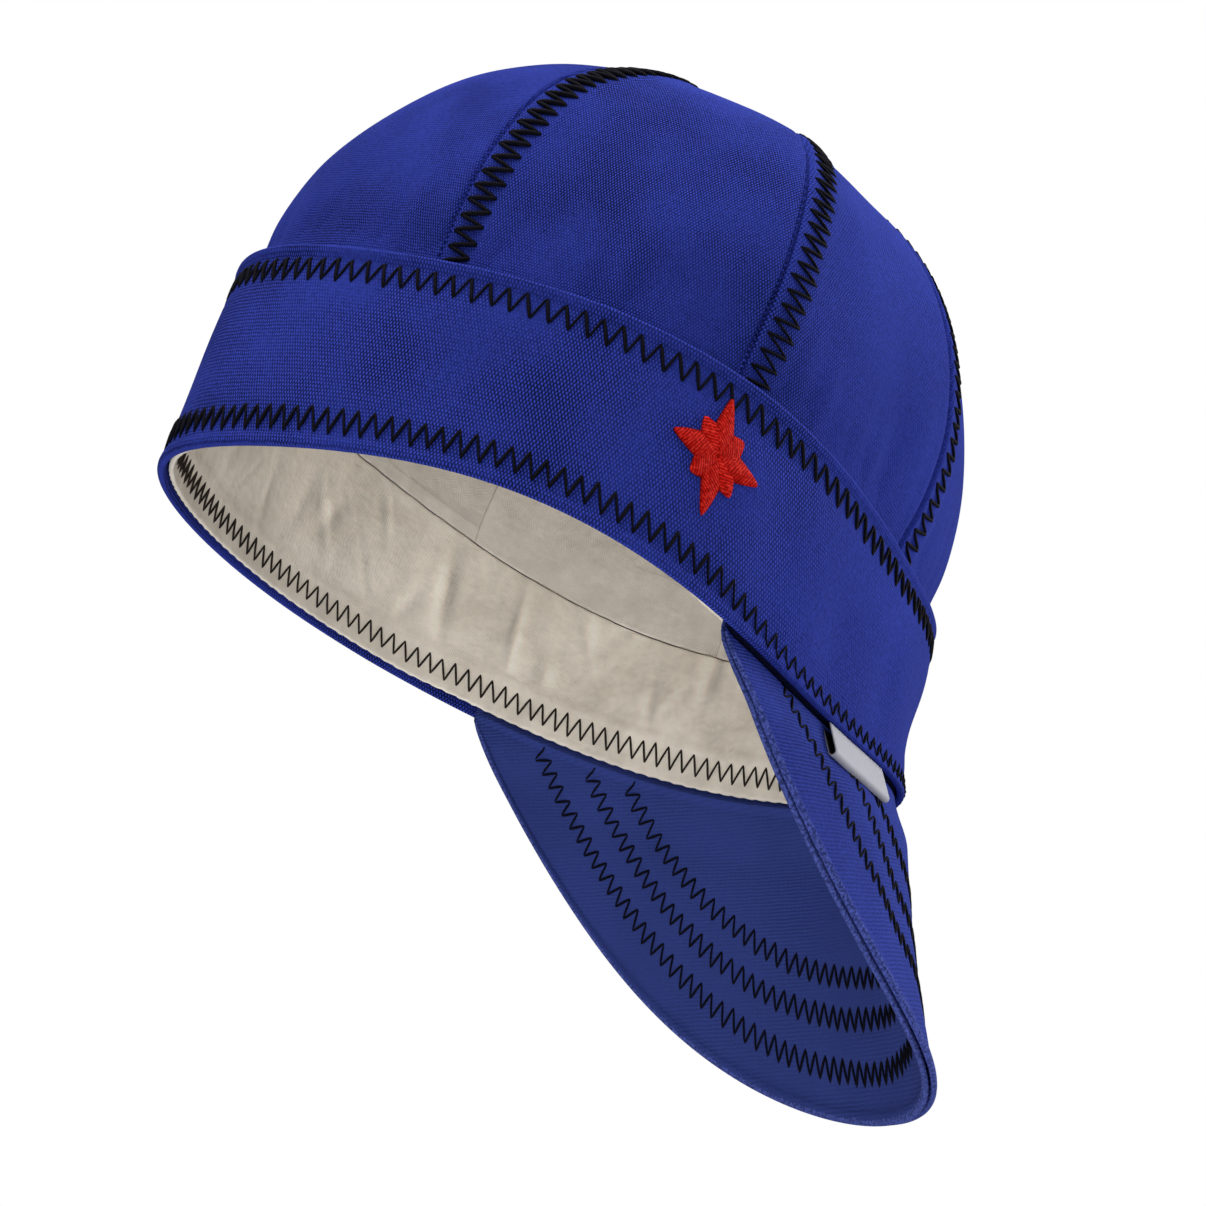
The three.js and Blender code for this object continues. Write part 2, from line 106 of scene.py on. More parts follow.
# The rim and the band's top. Width, length and shift are shares of the rim's, level and the waves
# alike and unlike on both sides are shares of the band's height.
RINGS = {
    "rim": dict(width=1, length=1, shift=0, egg=0.02, square=0.022, level=-0.023,
                alike=(0, -0.009, 0.047, 0.014), unlike=(0.01, 0.012, 0.004, -0.013)),
    "top": dict(width=0.9565, length=0.969, shift=0.029, egg=0.02, square=0.02, level=0.98,
                alike=(-0.042, -0.02, -0.014, 0), unlike=(0.008, 0.038, 0.043, 0)),
}
JUNCTION_WAVES = dict(once=-0.08, twice=-0.07, thrice=0.085)

# Soft dents: turn and spread in degrees. Place, reach and out are shares of the band's height or
# of the crown's rise.
BAND_DENTS = table(
    "turn spread place reach out",
    (-4, 22, 0.34, 0.3, -0.06),
    (-30, 16, 0.55, 0.35, 0.016),
    (-72, 9, 0.5, 0.5, 0.012),
    (42, 22, 0.45, 0.35, -0.03),
    (150, 20, 0.5, 0.35, -0.02),
)
CROWN_DENTS = table(
    "turn spread place reach out",
    (-60, 13, 0.3, 0.2, -0.016),
    (-110, 15, 0.22, 0.16, -0.014),
    (0, 18, 0.3, 0.2, -0.014),
    (60, 14, 0.26, 0.2, -0.018),
    (112, 14, 0.3, 0.18, -0.014),
    (180, 20, 0.26, 0.2, -0.016),
)

# Upright folds of the band lining: depth as a share of the deepest fold.
LINING_FOLDS = table(
    "turn spread depth",
    (24, 5, 0.5),
    (48, 6, 0.6),
    (75, 4, 1),
    (88, 6, 0.5),
    (112, 7, 0.7),
    (146, 8, 0.6),
    (172, 7, 0.5),
    (206, 8, 0.7),
    (244, 7, 0.5),
    (282, 6, 0.6),
    (322, 7, 0.6),
)
BRIM_LEAN = dict(once=-0.165, twice=0.306)
BRIM_BEND = dict(sideways=0.121, forward=-0.213, down=-0.166)

# Relief of the sewn crown. A groove lies in each seam and a ridge beside it.
SEAM_RIDGE = 0.42
SEAM_RIDGE_RISE = (0, 0.9)
SEAM_RIDGE_FALL = (9.5, 11)
SEAM_GROOVE = 2
SEAM_GROOVE_WIDTH = 0.6
SEAM_ROW_SINK = 0.125
TUCK_SINK = 1.3
TUCK_WIDTH = 3
GATHER_HEIGHT = 4
GATHER_WIDTH = 6
CROWN_EVEN_FOOT = (0, 0.1)
CROWN_EVEN_TOP = (0.9, 1)
CROWN_DEEPEST = 1.4

# Relief of the band: a bead and a crease along the rim, and a ridge and a crease along the fold.
HEM_BEAD = 0.7
HEM_BEAD_UP = 1.425
HEM_BEAD_WIDTH = 1.9
HEM_CREASE = 0.3
HEM_CREASE_UP = 3.04
FOLD_RIDGE = 0.9
FOLD_RIDGE_DOWN = (1.6, 2.6)
FOLD_CREASE = 0.5
FOLD_CREASE_DOWN = 2.9
EDGE_CREASE_WIDTH = 0.6
BAND_EVEN_EDGE = (4, 14)
STITCH_SINK = 0.25
PUCKER = 0.1
BAND_DEEPEST = 1.9

# Relief of the brim and the linings, and how much painted shade and highlight a crease gets.
BRIM_ROLL_WIDTH = 2.8
BRIM_ROLL_PROUD = 0.6
BRIM_FLARE = 0.15
BRIM_FLARE_WIDTH = 3
BRIM_ROOT_SINK = 1.8
BRIM_ROOT_GAP = 1.5
BRIM_EVEN_ROOT = (2, 12)
BRIM_EVEN_EDGE = (3, 10)
CREASE_DEPTH = 0.6
CREASE_PAINTED_SHADING = 0.7
HEM_TONE = 0.07
HEM_PULL = 0.2
LINING_EVEN_EDGE = (9, 20)

# Low waves of the cloth. Around and up multiply the turn and the height that they follow.
WAVES = {
    "crown": dict(seed=3, around=1, up=1, size=1.3),
    "gathers": dict(seed=41, around=5, up=0, size=1.2),
    "band": dict(seed=5, around=1, up=1, size=1),
    "lining": dict(seed=11, around=3, up=1.4, size=1.7),
    "lining_fine": dict(seed=12, around=7, up=0.8, size=0.8),
    "gore": dict(seed=21, around=1, up=60, size=1.6),
    "brim": dict(seed=31, around=2, up=1, size=0.5),
}
WAVE_COUNT = 7
WAVES_ROUND = (3, 15)
WAVES_UP = (0.02, 0.09)

# Slight bends of the cloth that the solids leave out: turn and spread in degrees, place and
# reach as shares of the way up the band or the crown, out in millimetres.
BAND_BENDS = table(
    "turn spread place reach out",
    (-82, 3.5, 0.45, 0.35, 0.7),
    (-74, 4, 0.5, 0.4, -0.6),
    (-57, 5, 0.32, 0.22, -1.2),
    (-40, 4, 0.4, 0.3, -0.9),
    (-101, 5, 0.6, 0.3, -0.5),
    (-128, 6, 0.4, 0.3, -0.6),
    (63, 5, 0.4, 0.3, -0.9),
    (96, 4, 0.5, 0.4, 0.6),
    (171, 5, 0.5, 0.3, -0.8),
)
CROWN_BENDS = table(
    "turn spread place reach out",
    (-101, 4.5, 0.055, 0.05, -1.4),
    (-108, 3, 0.06, 0.06, 0.8),
    (-92, 2.5, 0.05, 0.05, -0.8),
    (-122, 4, 0.05, 0.05, -0.8),
    (-160, 8, 0.1, 0.1, -1.2),
    (-48, 3, 0.12, 0.12, 0.8),
    (-56, 4, 0.1, 0.1, -0.8),
    (-75, 6, 0.2, 0.12, -0.8),
    (24, 5, 0.08, 0.07, -1),
    (70, 5, 0.07, 0.06, -1.1),
    (104, 4, 0.06, 0.06, -1),
    (150, 6, 0.08, 0.07, -1.1),
)

# Creases pressed into the band lining, each a ridge beside a hollow: turn in degrees, slant in
# millimetres along for each one up, size as a share of the deepest, the rest in millimetres.
LINING_CREASES = table(
    "turn up reach width slant size",
    (89, 27, 11, 2.4, 0.13, 1),
    (76.2, 24, 11, 1.7, 0.08, -0.9),
    (94.3, 19, 5, 2, -0.4, 0.6),
    (103, 38, 5, 1.6, 0.4, -0.7),
    (113, 28, 8, 3, -0.5, 0.5),
    (50, 17, 8, 1.8, 0.1, 0.5),
    (65, 31, 6, 2.2, 0.5, -0.4),
    (128, 24, 9, 2.6, 0.3, 0.5),
)
MORE_CREASES = 46

# Rows of zigzag stitches. Centre is the distance from the seam or edge that the row follows, thin
# the share of the thickness that every other strand shows, and lean where the points of one side
# lie between those of the other.
SEAM_STITCH = dict(centre=5.1, width=7.1, pitch=4.2, thread=1, thin=0.72, lean=0.44)
BACK_SEAM_STITCH = {**SEAM_STITCH, "thread": 1.35, "thin": 0.8}
BACK_SEAMS_FROM = 90
TOP_STITCH = dict(centre=6.1, width=6.3, pitch=4.95, thread=1, thin=0.72, lean=0.47)
RIM_ROW_OVER_BRIM = 3.3
RIM_ROW_FINER = 0.66
RIM_STITCH = dict(centre=6.8, width=6.4, pitch=4.4, thread=0.95, thin=0.7, lean=0.47)
HEM_STITCH = dict(centre=6.9, width=5.4, pitch=3.9, thread=0.6, thin=1, lean=0.5)
BRIM_STITCH = dict(width=5.1, pitch=3.9, thread=0.7, thin=0.85, lean=0.5)
RIM_ROW_CHANGES = (64, 88)
STITCH_UNEVEN = 0.05
STITCH_REACH = (0.9, 1.08)
STRAND_SUNK = -0.25
STRAND_PROUD = 0.8
STRAND_END = 0.7

# Courses of the brim's stitch rows: middle is the drop at the brim's middle as a share of the
# brim's, left and right the turns where the row meets the band, in degrees.
BRIM_COURSES = table(
    "middle left left_power right right_power taper",
    (0.856, 67.3, 2.26, 65.6, 1.6, 0.91),
    (0.697, 58.1, 2.44, 49.9, 1.91, 0.865),
    (0.571, 50.8, 2.34, 42.8, 1.46, 0.84),
)

# The lining's hem, the brim's rows and rolled edge, the tag's tape and the emblem's leaves.
HEM_HEIGHT = 12
HEM_EDGE = 0.4
HEM_STEP = 0.35
HEM_SCALLOP = 0.15
BRIM_PULL = 0.3
COURSE_START = 2
SEAM_STITCH_START = 1
SEAM_STITCH_STOP = 14
BRIM_END_CROWDING = 0.3
BRIM_ROOT_CROWDING = 1.5
ROLL_ROWS = (0, 0.15, 0.4, 0.8, 1.3, 1.8, 2.2, 2.5, 2.8)
TAG_SPREAD = 2.2
TAG_TAPE = 0.35
LEAF_HALF_WIDTH = 0.235
LEAF_HEIGHT = 1
LEAF_ROOT = 0.4
LEAF_POINT = 0.7
LEAF_FULL_FROM = 0.625

# Pitches of the weaves, and colours as linear light.
WEAVE_ROW = 0.92
WEAVE_DOT = 0.88
CROWN_FINER = 0.84
WEAVE_WARP = 0.5
BRIM_RIB = 0.8
BRIM_GRAIN_CLIMB = 0.44

CANVAS_BLUE = (0.0225, 0.037, 0.272)
BRIM_BLUE = (0.035, 0.055, 0.24)
BRIM_OUTER_BLUE = (0.026, 0.042, 0.262)
# Paler blue of the brim's frayed edge: worn cloth, and painted lighter as a highlight on its roll.
WORN_AND_HIGHLIGHT_BLUE = (0.072, 0.098, 0.36)
MUSLIN_CREAM = (0.9, 0.83, 0.725)
GORE_CREAM = (0.755, 0.7, 0.625)
THREAD_BLACK = (0.004, 0.004, 0.008)
THREAD_BROWN = (0.03, 0.022, 0.018)
TAPE_GREY = (0.43, 0.43, 0.48)
EMBLEM_RED = (0.72, 0.008, 0.004)
# The satin's painted highlight.
EMBLEM_PAINTED_HIGHLIGHT = (1, 0.07, 0.045)

# The photo's camera in degrees and metres. Shift is in widths of the picture.
CAMERA = dict(azimuth=254.978, elevation=-16.615, roll=23.868, distance=1.147324, lens=137.58,
              shift=(0.0628, 0.02415))

# Soft lights, placed from the cap in metres to the camera's right, up and towards the camera.
LIGHTS = table(
    "name place size power",
    ("key", (1.45, 0.25, -0.55), 1, 20.2),
    ("top", (-0.15, 1.5, -0.1), 1.2, 27),
    ("front", (0.1, -0.4, 1.6), 0.9, 6.2),
    ("low", (-0.5, -0.7, 0.7), 0.6, 1.7),
)
AMBIENT = 0.3
WHITE = (1, 1, 1, 1)
FLOOR_SIZE = 14
FLOOR_HEIGHT = -1.3
FLOOR_WHITE = (0.8, 0.8, 0.8, 1)
FLOOR_GLOW = 0.4

# Fineness of the meshes: steps in millimetres and counts.
BAND_STEP = 1.05
PANEL_STEP = 1.4
GORE_STEP = 2.6
LINING_STEP = 1.3
BRIM_COLUMNS = 220
BRIM_STEP = 1.3
EDGE_ROWS = (0, 0.12, 0.35, 0.7, 1.2)
TUCK_ROWS = 4
COURSE_POINTS = 600
LEAF_LONG_STEPS = 24
LEAF_WIDE_STEPS = 12
TAG_STEPS = 32
TAG_DOWN_STEPS = 8
TAG_FOLD_STEPS = 8
STRAND_POINTS = 7
THREAD_SIDES = 6

rng = np.random.default_rng(7)


def along(*parts):
    """Parts as the last axis of one array."""
    return np.stack(np.broadcast_arrays(*parts), axis=-1)


def unit(vectors):
    return vectors / np.linalg.norm(vectors, axis=-1, keepdims=True)


def ease(x, low, high):
    share = np.clip((x - low) / (high - low), 0, 1)
    return share * share * (3 - 2 * share)


def bell(distance, spread):
    return np.exp(-((distance / spread) ** 2))


def mix(a, b, share):
    return a + (b - a) * share


def same_shape(*parts):
    return [part.astype(float) for part in np.broadcast_arrays(*parts)]


def turn_apart(turn, centre):
    """The angle from one turn to another the short way, in degrees."""
    apart = np.degrees(turn) - centre
    return apart - 360 * np.round(apart / 360)


def bells(rows, turn, place):
    """The sum of the soft bumps in a table, at their turns and places."""
    out = 0
    for row in rows:
        out = out + (row["out"] * bell(turn_apart(turn, row["turn"]), row["spread"])
                     * bell(place - row["place"], row["reach"]))
    return out


def ring_point(ring, turn):
    """A point of the rim or of the band's top."""
    r = RINGS[ring]
    lobe = 1 + r["egg"] * np.cos(3 * turn) + r["square"] * np.cos(4 * turn)
    wave = 0
    for k, (alike, unlike) in enumerate(zip(r["alike"], r["unlike"]), start=1):
        wave = wave + alike * np.cos(k * turn) + unlike * np.sin(k * turn)
    return along(
        RIM_WIDTH / 2 * r["width"] * np.sin(turn) * lobe,
        RIM_LENGTH * r["shift"] - RIM_LENGTH / 2 * r["length"] * np.cos(turn) * lobe,
        BAND_HEIGHT * (r["level"] + wave),
    )


def band_line(turn, level):
    return mix(ring_point("rim", turn), ring_point("top", turn), np.asarray(level)[..., None])


def outward_at(turn, level):
    """The level direction out of the cloth."""
    step = 1e-3
    way = band_line(turn + step, level) - band_line(turn - step, level)
    return unit(along(way[..., 1], -way[..., 0], 0))


def band_face(turn, level):
    """The band's face: level is 0 at the rim and 1 at the folded top edge."""
    inside = np.clip(4 * level * (1 - level), 0, 1)
    dents = BAND_HEIGHT * np.minimum(1, DENT_FADE * inside) * bells(BAND_DENTS, turn, level)
    out = BAND_BOW * inside + dents
    return band_line(turn, level) + outward_at(turn, level) * out[..., None]


def drawn_in(point, keep, height):
    """A point at a height, drawn in towards the crown's middle to a share of its distance."""
    return along(point[..., 0] * keep,
                 CROWN_TOP_BACK + (point[..., 1] - CROWN_TOP_BACK) * keep, height)


def crown_dome(turn, rise):
    """The crown as a smooth dome: rise is 0 at the band and 1 at the middle."""
    base = ring_point("top", turn)
    quarter = np.clip(rise, 0, 1) * pi / 2
    around = np.cos(quarter) ** (2 / CROWN_PLAN_POWER)
    up = np.sin(quarter) ** (2 / CROWN_PROFILE_POWER)
    return drawn_in(base, around, mix(base[..., 2], BAND_HEIGHT + CROWN_RISE, up))


def crown_outward(turn, rise):
    step = 1e-3
    around = crown_dome(turn + step, rise + step) - crown_dome(turn - step, rise + step)
    up = crown_dome(turn, rise + step) - crown_dome(turn, np.maximum(rise - step, 1e-4))
    return unit(np.cross(around, up))


SEAMS = [-turn for turn in reversed(SEAM_TURNS)] + SEAM_TURNS
PANEL_NAMES = ["back_right", "front_right", "front", "front_left", "back_left", "back"]


def between_seams(turn):
    """0 at a seam and 1 midway between two."""
    edges = np.array([*SEAMS, SEAMS[0] + 360])
    degrees = SEAMS[0] + (np.degrees(turn) - SEAMS[0]) % 360
    after = np.clip(np.searchsorted(edges, degrees, side="right"), 1, len(edges) - 1)
    share = (degrees - edges[after - 1]) / (edges[after] - edges[after - 1])
    return 4 * share * (1 - share)


def crown_face(turn, rise):
    """The crown's face, with its flat panels and dents."""
    hump = np.sin(pi * np.clip(rise, 0, 1)) ** PANEL_HUMP_POWER
    keep = 1 - PANEL_FLATNESS * between_seams(turn) * hump
    dome = crown_dome(turn, rise)
    out = CROWN_RISE * hump * bells(CROWN_DENTS, turn, rise)
    return drawn_in(dome, keep, dome[..., 2]) + crown_outward(turn, rise) * out[..., None]


def wall_point(turn, run, depth):
    """A point of the whole wall behind its face. Run is the band's level up to 1, and from
    there on 1 more than the crown's rise."""
    turn, run, depth = same_shape(turn, run, depth)
    level = np.minimum(run, 1)
    rise = np.maximum(run - 1, 0)
    band = band_face(turn, level) - outward_at(turn, level) * depth[..., None]
    crown = crown_face(turn, rise) - crown_outward(turn, rise) * depth[..., None]
    return np.where((run <= 1)[..., None], band, crown)


def level_at(turn, height):
    low = ring_point("rim", turn)[..., 2]
    high = ring_point("top", turn)[..., 2]
    return (height - low) / (high - low)


TUCK_LEVEL = 1 - CROWN_TUCK / BAND_HEIGHT
ROOT_LEVEL = (BRIM_TUCK + GAP) / BAND_HEIGHT
BEHIND_BAND = BAND_WALL + GAP
BEHIND_CROWN = BEHIND_BAND + CROWN_WALL + GAP
BRIM_THICKNESS = 2 * BRIM_PLY + GAP


def crown_depth(run):
    return BEHIND_BAND * (1 - ease(run, 1, 1 + CROWN_EASE / CROWN_RISE))


def junction_level(turn):
    """The level of the seam between the two linings."""
    waves = JUNCTION_WAVES
    height = BAND_HEIGHT - JUNCTION_BELOW_TOP
    return level_at(turn, height * (1 + waves["once"] * np.cos(turn)
                                    + waves["twice"] * np.cos(2 * turn)
                                    + waves["thrice"] * np.cos(3 * turn)))


def lining_depth(turn, run):
    apart = np.abs(turn_apart(turn, 0))
    behind = 1 - ease(apart, BRIM_HALF_TURN + LINING_TURN_CLEAR, BRIM_HALF_TURN + LINING_TURN_EASE)
    at_rim = BEHIND_BAND + behind * (BRIM_THICKNESS + GAP)
    rise = ease(run, ROOT_LEVEL, TUCK_LEVEL - LINING_EASE / BAND_HEIGHT)
    return LINING_SLACK + mix(at_rim, BEHIND_CROWN, rise)


def fold_depth(turn, share):
    depth = 0
    for fold in LINING_FOLDS:
        depth = depth + fold["depth"] * bell(turn_apart(turn, fold["turn"]), fold["spread"])
    return LINING_FOLD_DEPTH * depth * np.sin(pi * np.clip(share, 0, 1))


def brim_drop_at(turn):
    share = np.minimum(1, np.abs(turn) / radians(BRIM_HALF_TURN))
    full = (1 - share ** BRIM_OUTLINE_POWER) ** (1 / BRIM_TAPER_POWER)
    return BRIM_END_DROP + (BRIM_DROP - BRIM_END_DROP) * full


def brim_middle(turn, drop):
    """The middle of the brim's cloth, at a drop below the rim."""
    way = unit(along(
        BRIM_LEAN["once"] * np.sin(turn) + BRIM_LEAN["twice"] * np.sin(2 * turn),
        -BRIM_ROOT_LEAN, -1,
    ))
    curl = BRIM_DROP * (drop / BRIM_DROP) ** 2
    bend = along(BRIM_BEND["sideways"] * np.sin(turn), BRIM_BEND["forward"], BRIM_BEND["down"])
    return ring_point("rim", turn) + way * drop[..., None] + bend * curl[..., None]


def brim_outward(turn, drop):
    step = 1e-2
    around = brim_middle(turn + step, drop) - brim_middle(turn - step, drop)
    up = brim_middle(turn, drop) - brim_middle(turn, drop + step)
    share = ease(drop, 0, BRIM_EASE)[..., None]
    return unit(mix(outward_at(turn, 0 * turn), unit(np.cross(around, up)), share))


def brim_point(turn, drop, depth):
    """A point of the brim behind the face of its outer ply."""
    turn, drop, depth = same_shape(turn, drop, depth)
    behind_band = wall_point(turn, np.maximum(-drop, 0) / BAND_HEIGHT, BEHIND_BAND + depth)
    low = np.maximum(drop, 0)
    inset = (BEHIND_BAND + BRIM_THICKNESS / 2) * (1 - ease(low, 0, BRIM_EASE))
    behind = inset - BRIM_THICKNESS / 2 + depth
    below = brim_middle(turn, low) - brim_outward(turn, low) * behind[..., None]
    return np.where((drop <= 0)[..., None], behind_band, below)


def arc_table(points):
    """Lengths along a line of points."""
    steps = np.linalg.norm(np.diff(points, axis=0), axis=1)
    return np.concatenate([[0], np.cumsum(steps)])


RING_TURNS = np.radians(np.linspace(-180, 180, 1441))
RIM_ARC = arc_table(ring_point("rim", RING_TURNS))
RISES = np.linspace(0, 1, 241)


def rim_length(turn):
    """Length along the rim from the back of the cap to a turn."""
    return np.interp(turn, RING_TURNS, RIM_ARC)


def rim_turn(length):
    """The turn at a length along the rim."""
    return np.interp(length % RIM_ARC[-1], RIM_ARC, RING_TURNS)


def seam_arc(seam):
    return arc_table(crown_dome(np.full_like(RISES, radians(seam)), RISES))


def radius_at(turn, rise):
    dome = crown_dome(turn, rise)
    return np.hypot(dome[..., 0], dome[..., 1] - CROWN_TOP_BACK)


def seam_distances(turn, rise):
    """Distance from each seam, growing towards the brim, with the seam's turn in degrees."""
    radius = radius_at(turn, rise)
    for seam in SEAMS:
        towards_brim = -copysign(1, seam)
        yield seam, towards_brim * np.radians(turn_apart(turn, seam)) * radius


def soft_waves(name, turn, height=0):
    """A low smooth unevenness of the cloth, the same on each run."""
    kind = WAVES[name]
    draws = np.random.default_rng(kind["seed"])
    out = 0
    for _ in range(WAVE_COUNT):
        around = draws.integers(*WAVES_ROUND) * kind["around"]
        up = draws.uniform(*WAVES_UP) * kind["up"]
        phase, lift = draws.uniform(0, 2 * pi, 2)
        out = out + np.cos(around * turn + phase + up * height) * np.cos(up * height + lift)
    return kind["size"] * out / WAVE_COUNT


def pucker(length, row):
    """How the cloth rises and sinks along a row of stitches."""
    return PUCKER * np.cos(2 * pi * length / row["pitch"])


def crown_relief(turn, run):
    """How far the sewn crown stands out from its plain face."""
    rise = np.maximum(run - 1, 0)
    height = rise * CROWN_RISE
    fade = 1 - ease(rise, *CROWN_EVEN_TOP)
    out = soft_waves("crown", turn, height) * fade * ease(rise, *CROWN_EVEN_FOOT)
    for seam, distance in seam_distances(turn, rise):
        ridge = ease(distance, *SEAM_RIDGE_RISE) * (1 - ease(distance, *SEAM_RIDGE_FALL))
        groove = bell(distance, SEAM_GROOVE_WIDTH)
        bed = bell(distance - SEAM_STITCH["centre"], SEAM_STITCH["width"] / 2)
        up_seam = np.interp(rise, RISES, seam_arc(seam))
        out = out + (SEAM_RIDGE * ridge - SEAM_GROOVE * groove) * fade
        out = out + bed * (pucker(up_seam, SEAM_STITCH) - SEAM_ROW_SINK) * fade
    out = out + soft_waves("gathers", turn) * bell(height - GATHER_HEIGHT, GATHER_WIDTH)
    out = out - TUCK_SINK * bell(height, TUCK_WIDTH) + bells(CROWN_BENDS, turn, rise)
    return np.where(run < 1, 0, np.maximum(out, -CROWN_DEEPEST))


def past_brim(turn):
    """0 over the brim and 1 round the rest of the rim."""
    return ease(np.abs(turn_apart(turn, 0)), *RIM_ROW_CHANGES)


def rim_row_height(turn):
    """Height of the middle of the rim's stitch row, which runs closer to the edge over the brim."""
    return mix(RIM_ROW_OVER_BRIM, RIM_STITCH["centre"], past_brim(turn))


def rim_row_size(length):
    """Size of the rim's stitches at a length along the rim: they are finer over the brim."""
    return mix(RIM_ROW_FINER, 1, past_brim(rim_turn(length)))


def band_relief(turn, level):
    """How far the sewn band stands out from its plain face."""
    up = level * BAND_HEIGHT
    down = BAND_HEIGHT - up
    out = soft_waves("band", turn, up) * ease(up, *BAND_EVEN_EDGE) * ease(down, *BAND_EVEN_EDGE)
    out = out + HEM_BEAD * bell(up - HEM_BEAD_UP, HEM_BEAD_WIDTH)
    out = out + FOLD_RIDGE * (1 - ease(down, *FOLD_RIDGE_DOWN))
    rows = ((up, RIM_STITCH, rim_row_height(turn)), (down, TOP_STITCH, TOP_STITCH["centre"]))
    for edge, row, centre in rows:
        bed = bell(edge - centre, row["width"] / 2)
        out = out + bed * (pucker(rim_length(turn), row) - STITCH_SINK)
    out = out - HEM_CREASE * bell(up - HEM_CREASE_UP, EDGE_CREASE_WIDTH)
    out = out - FOLD_CREASE * bell(down - FOLD_CREASE_DOWN, EDGE_CREASE_WIDTH)
    return np.maximum(out + bells(BAND_BENDS, turn, level), -BAND_DEEPEST)


def more_creases():
    """Small creases all round the band lining, drawn the same on each run."""
    draws = np.random.default_rng(19)
    return [dict(turn=draws.uniform(-180, 180), up=draws.uniform(16, 36),
                 reach=draws.uniform(4, 10), width=draws.uniform(1.3, 3.2),
                 slant=draws.uniform(-0.9, 0.9),
                 size=draws.choice([-1, 1]) * draws.uniform(0.2, 0.65))
            for _ in range(MORE_CREASES)]


ALL_CREASES = LINING_CREASES + more_creases()


def lining_creases(turn, up):
    """Creases of the band lining between about -1 and 1."""
    out = 0
    for crease in ALL_CREASES:
        along_rim = np.radians(turn_apart(turn, crease["turn"])) * RIM_LENGTH / 2
        share = (along_rim - crease["slant"] * (up - crease["up"])) / crease["width"]
        step = 1.4 * share * np.exp(0.5 - share ** 2)
        out = out + crease["size"] * step * bell(up - crease["up"], crease["reach"])
    return out * ease(up, HEM_HEIGHT, HEM_HEIGHT + 4)


def lining_relief(turn, up):
    """Creases of the band lining towards the head, and the pull of its hem stitches."""
    creases = soft_waves("lining", turn, up) + soft_waves("lining_fine", turn, up)
    out = creases * ease(up, *LINING_EVEN_EDGE) + CREASE_DEPTH * lining_creases(turn, up)
    bed = bell(up - HEM_STITCH["centre"], HEM_STITCH["width"] / 2)
    return out + bed * (pucker(rim_length(turn), HEM_STITCH) - HEM_PULL)


def edge_rounding(distance, wall):
    """How far a skin of a wall sinks towards the wall's middle near its edge."""
    near = np.clip(1 - distance / (0.5 * wall), 0, 1)
    return 0.46 * wall * (1 - np.sqrt(1 - near * near))


def spaced(low, high, step):
    """Places from low to high about a step apart, closer at both ends."""
    count = max(2, round((high - low - 2 * EDGE_ROWS[-1]) / step))
    inner = np.linspace(low + EDGE_ROWS[-1], high - EDGE_ROWS[-1], count + 1)
    edge = np.array(EDGE_ROWS[:-1])
    return np.concatenate([low + edge, inner, high - edge[::-1]])


def edge_distance(places):
    return np.minimum(places - places[0], places[-1] - places)


def skin_faces(across, rows, closes_round, places):
    """Quads of a closed skin with a face and a back grid, and the places of their corners on the
    cloth. A corner is a column, a row and a side."""
    columns = across if closes_round else across - 1
    i, j = (x.ravel() for x in np.meshgrid(np.arange(columns), np.arange(rows - 1), indexing="ij"))
    k = np.arange(columns)
    low, high = 0 * k, 0 * k + rows - 1
    groups = [
        [(i, j, 0), (i + 1, j, 0), (i + 1, j + 1, 0), (i, j + 1, 0)],
        [(i, j, 1), (i, j + 1, 1), (i + 1, j + 1, 1), (i + 1, j, 1)],
        [(k + 1, low, 0), (k, low, 0), (k, low, 1), (k + 1, low, 1)],
        [(k, high, 0), (k + 1, high, 0), (k + 1, high, 1), (k, high, 1)],
    ]
    if not closes_round:
        r = np.arange(rows - 1)
        first, last = 0 * r, 0 * r + columns
        groups.append([(first, r, 0), (first, r + 1, 0), (first, r + 1, 1), (first, r, 1)])
        groups.append([(last, r + 1, 0), (last, r, 0), (last, r, 1), (last, r + 1, 1)])
    quads = [np.stack([s * across * rows + (i % across) * rows + j for i, j, s in corners], -1)
             for corners in groups]
    maps = [np.stack([places[i, j] for i, j, _ in corners], 1) for corners in groups]
    return np.concatenate(quads), np.concatenate(maps)


def placed(name, data):
    """A new object in the scene."""
    thing = bpy.data.objects.new(name, data)
    bpy.context.scene.collection.objects.link(thing)
    return thing


def make_piece(name, points, quads, places, finish, marks={}):
    """A mesh object from points and quads, with its cloth map and its marks for the material."""
    mesh = bpy.data.meshes.new(name)
    mesh.from_pydata((points * MM).tolist(), [], quads.tolist())
    layer = mesh.uv_layers.new(name="cloth")
    layer.data.foreach_set("uv", (places * MM).astype(np.float32).ravel())
    for mark, values in marks.items():
        attribute = mesh.attributes.new(mark, "FLOAT", "POINT")
        attribute.data.foreach_set("value", values.astype(np.float32).ravel())
    mesh.polygons.foreach_set("use_smooth", [True] * len(mesh.polygons))
    mesh.materials.append(finish)
    piece = placed(name, mesh)
    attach(piece, "root")
    return piece


def add_cloth(name, node, slot, finish, face, back, places, closes_round=False, marks=None):
    """A closed skin between a face and a back grid of points, in place of a solid. A mark is a
    pair of values, for the face and the back."""
    quads, maps = skin_faces(*face.shape[:2], closes_round, places)
    points = np.concatenate([face.reshape(-1, 3), back.reshape(-1, 3)])
    marks = {mark: np.concatenate([side.ravel() for side in pair])
             for mark, pair in (marks or {}).items()}
    piece = make_piece(name, points, quads, maps, finish, marks)
    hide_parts(node)


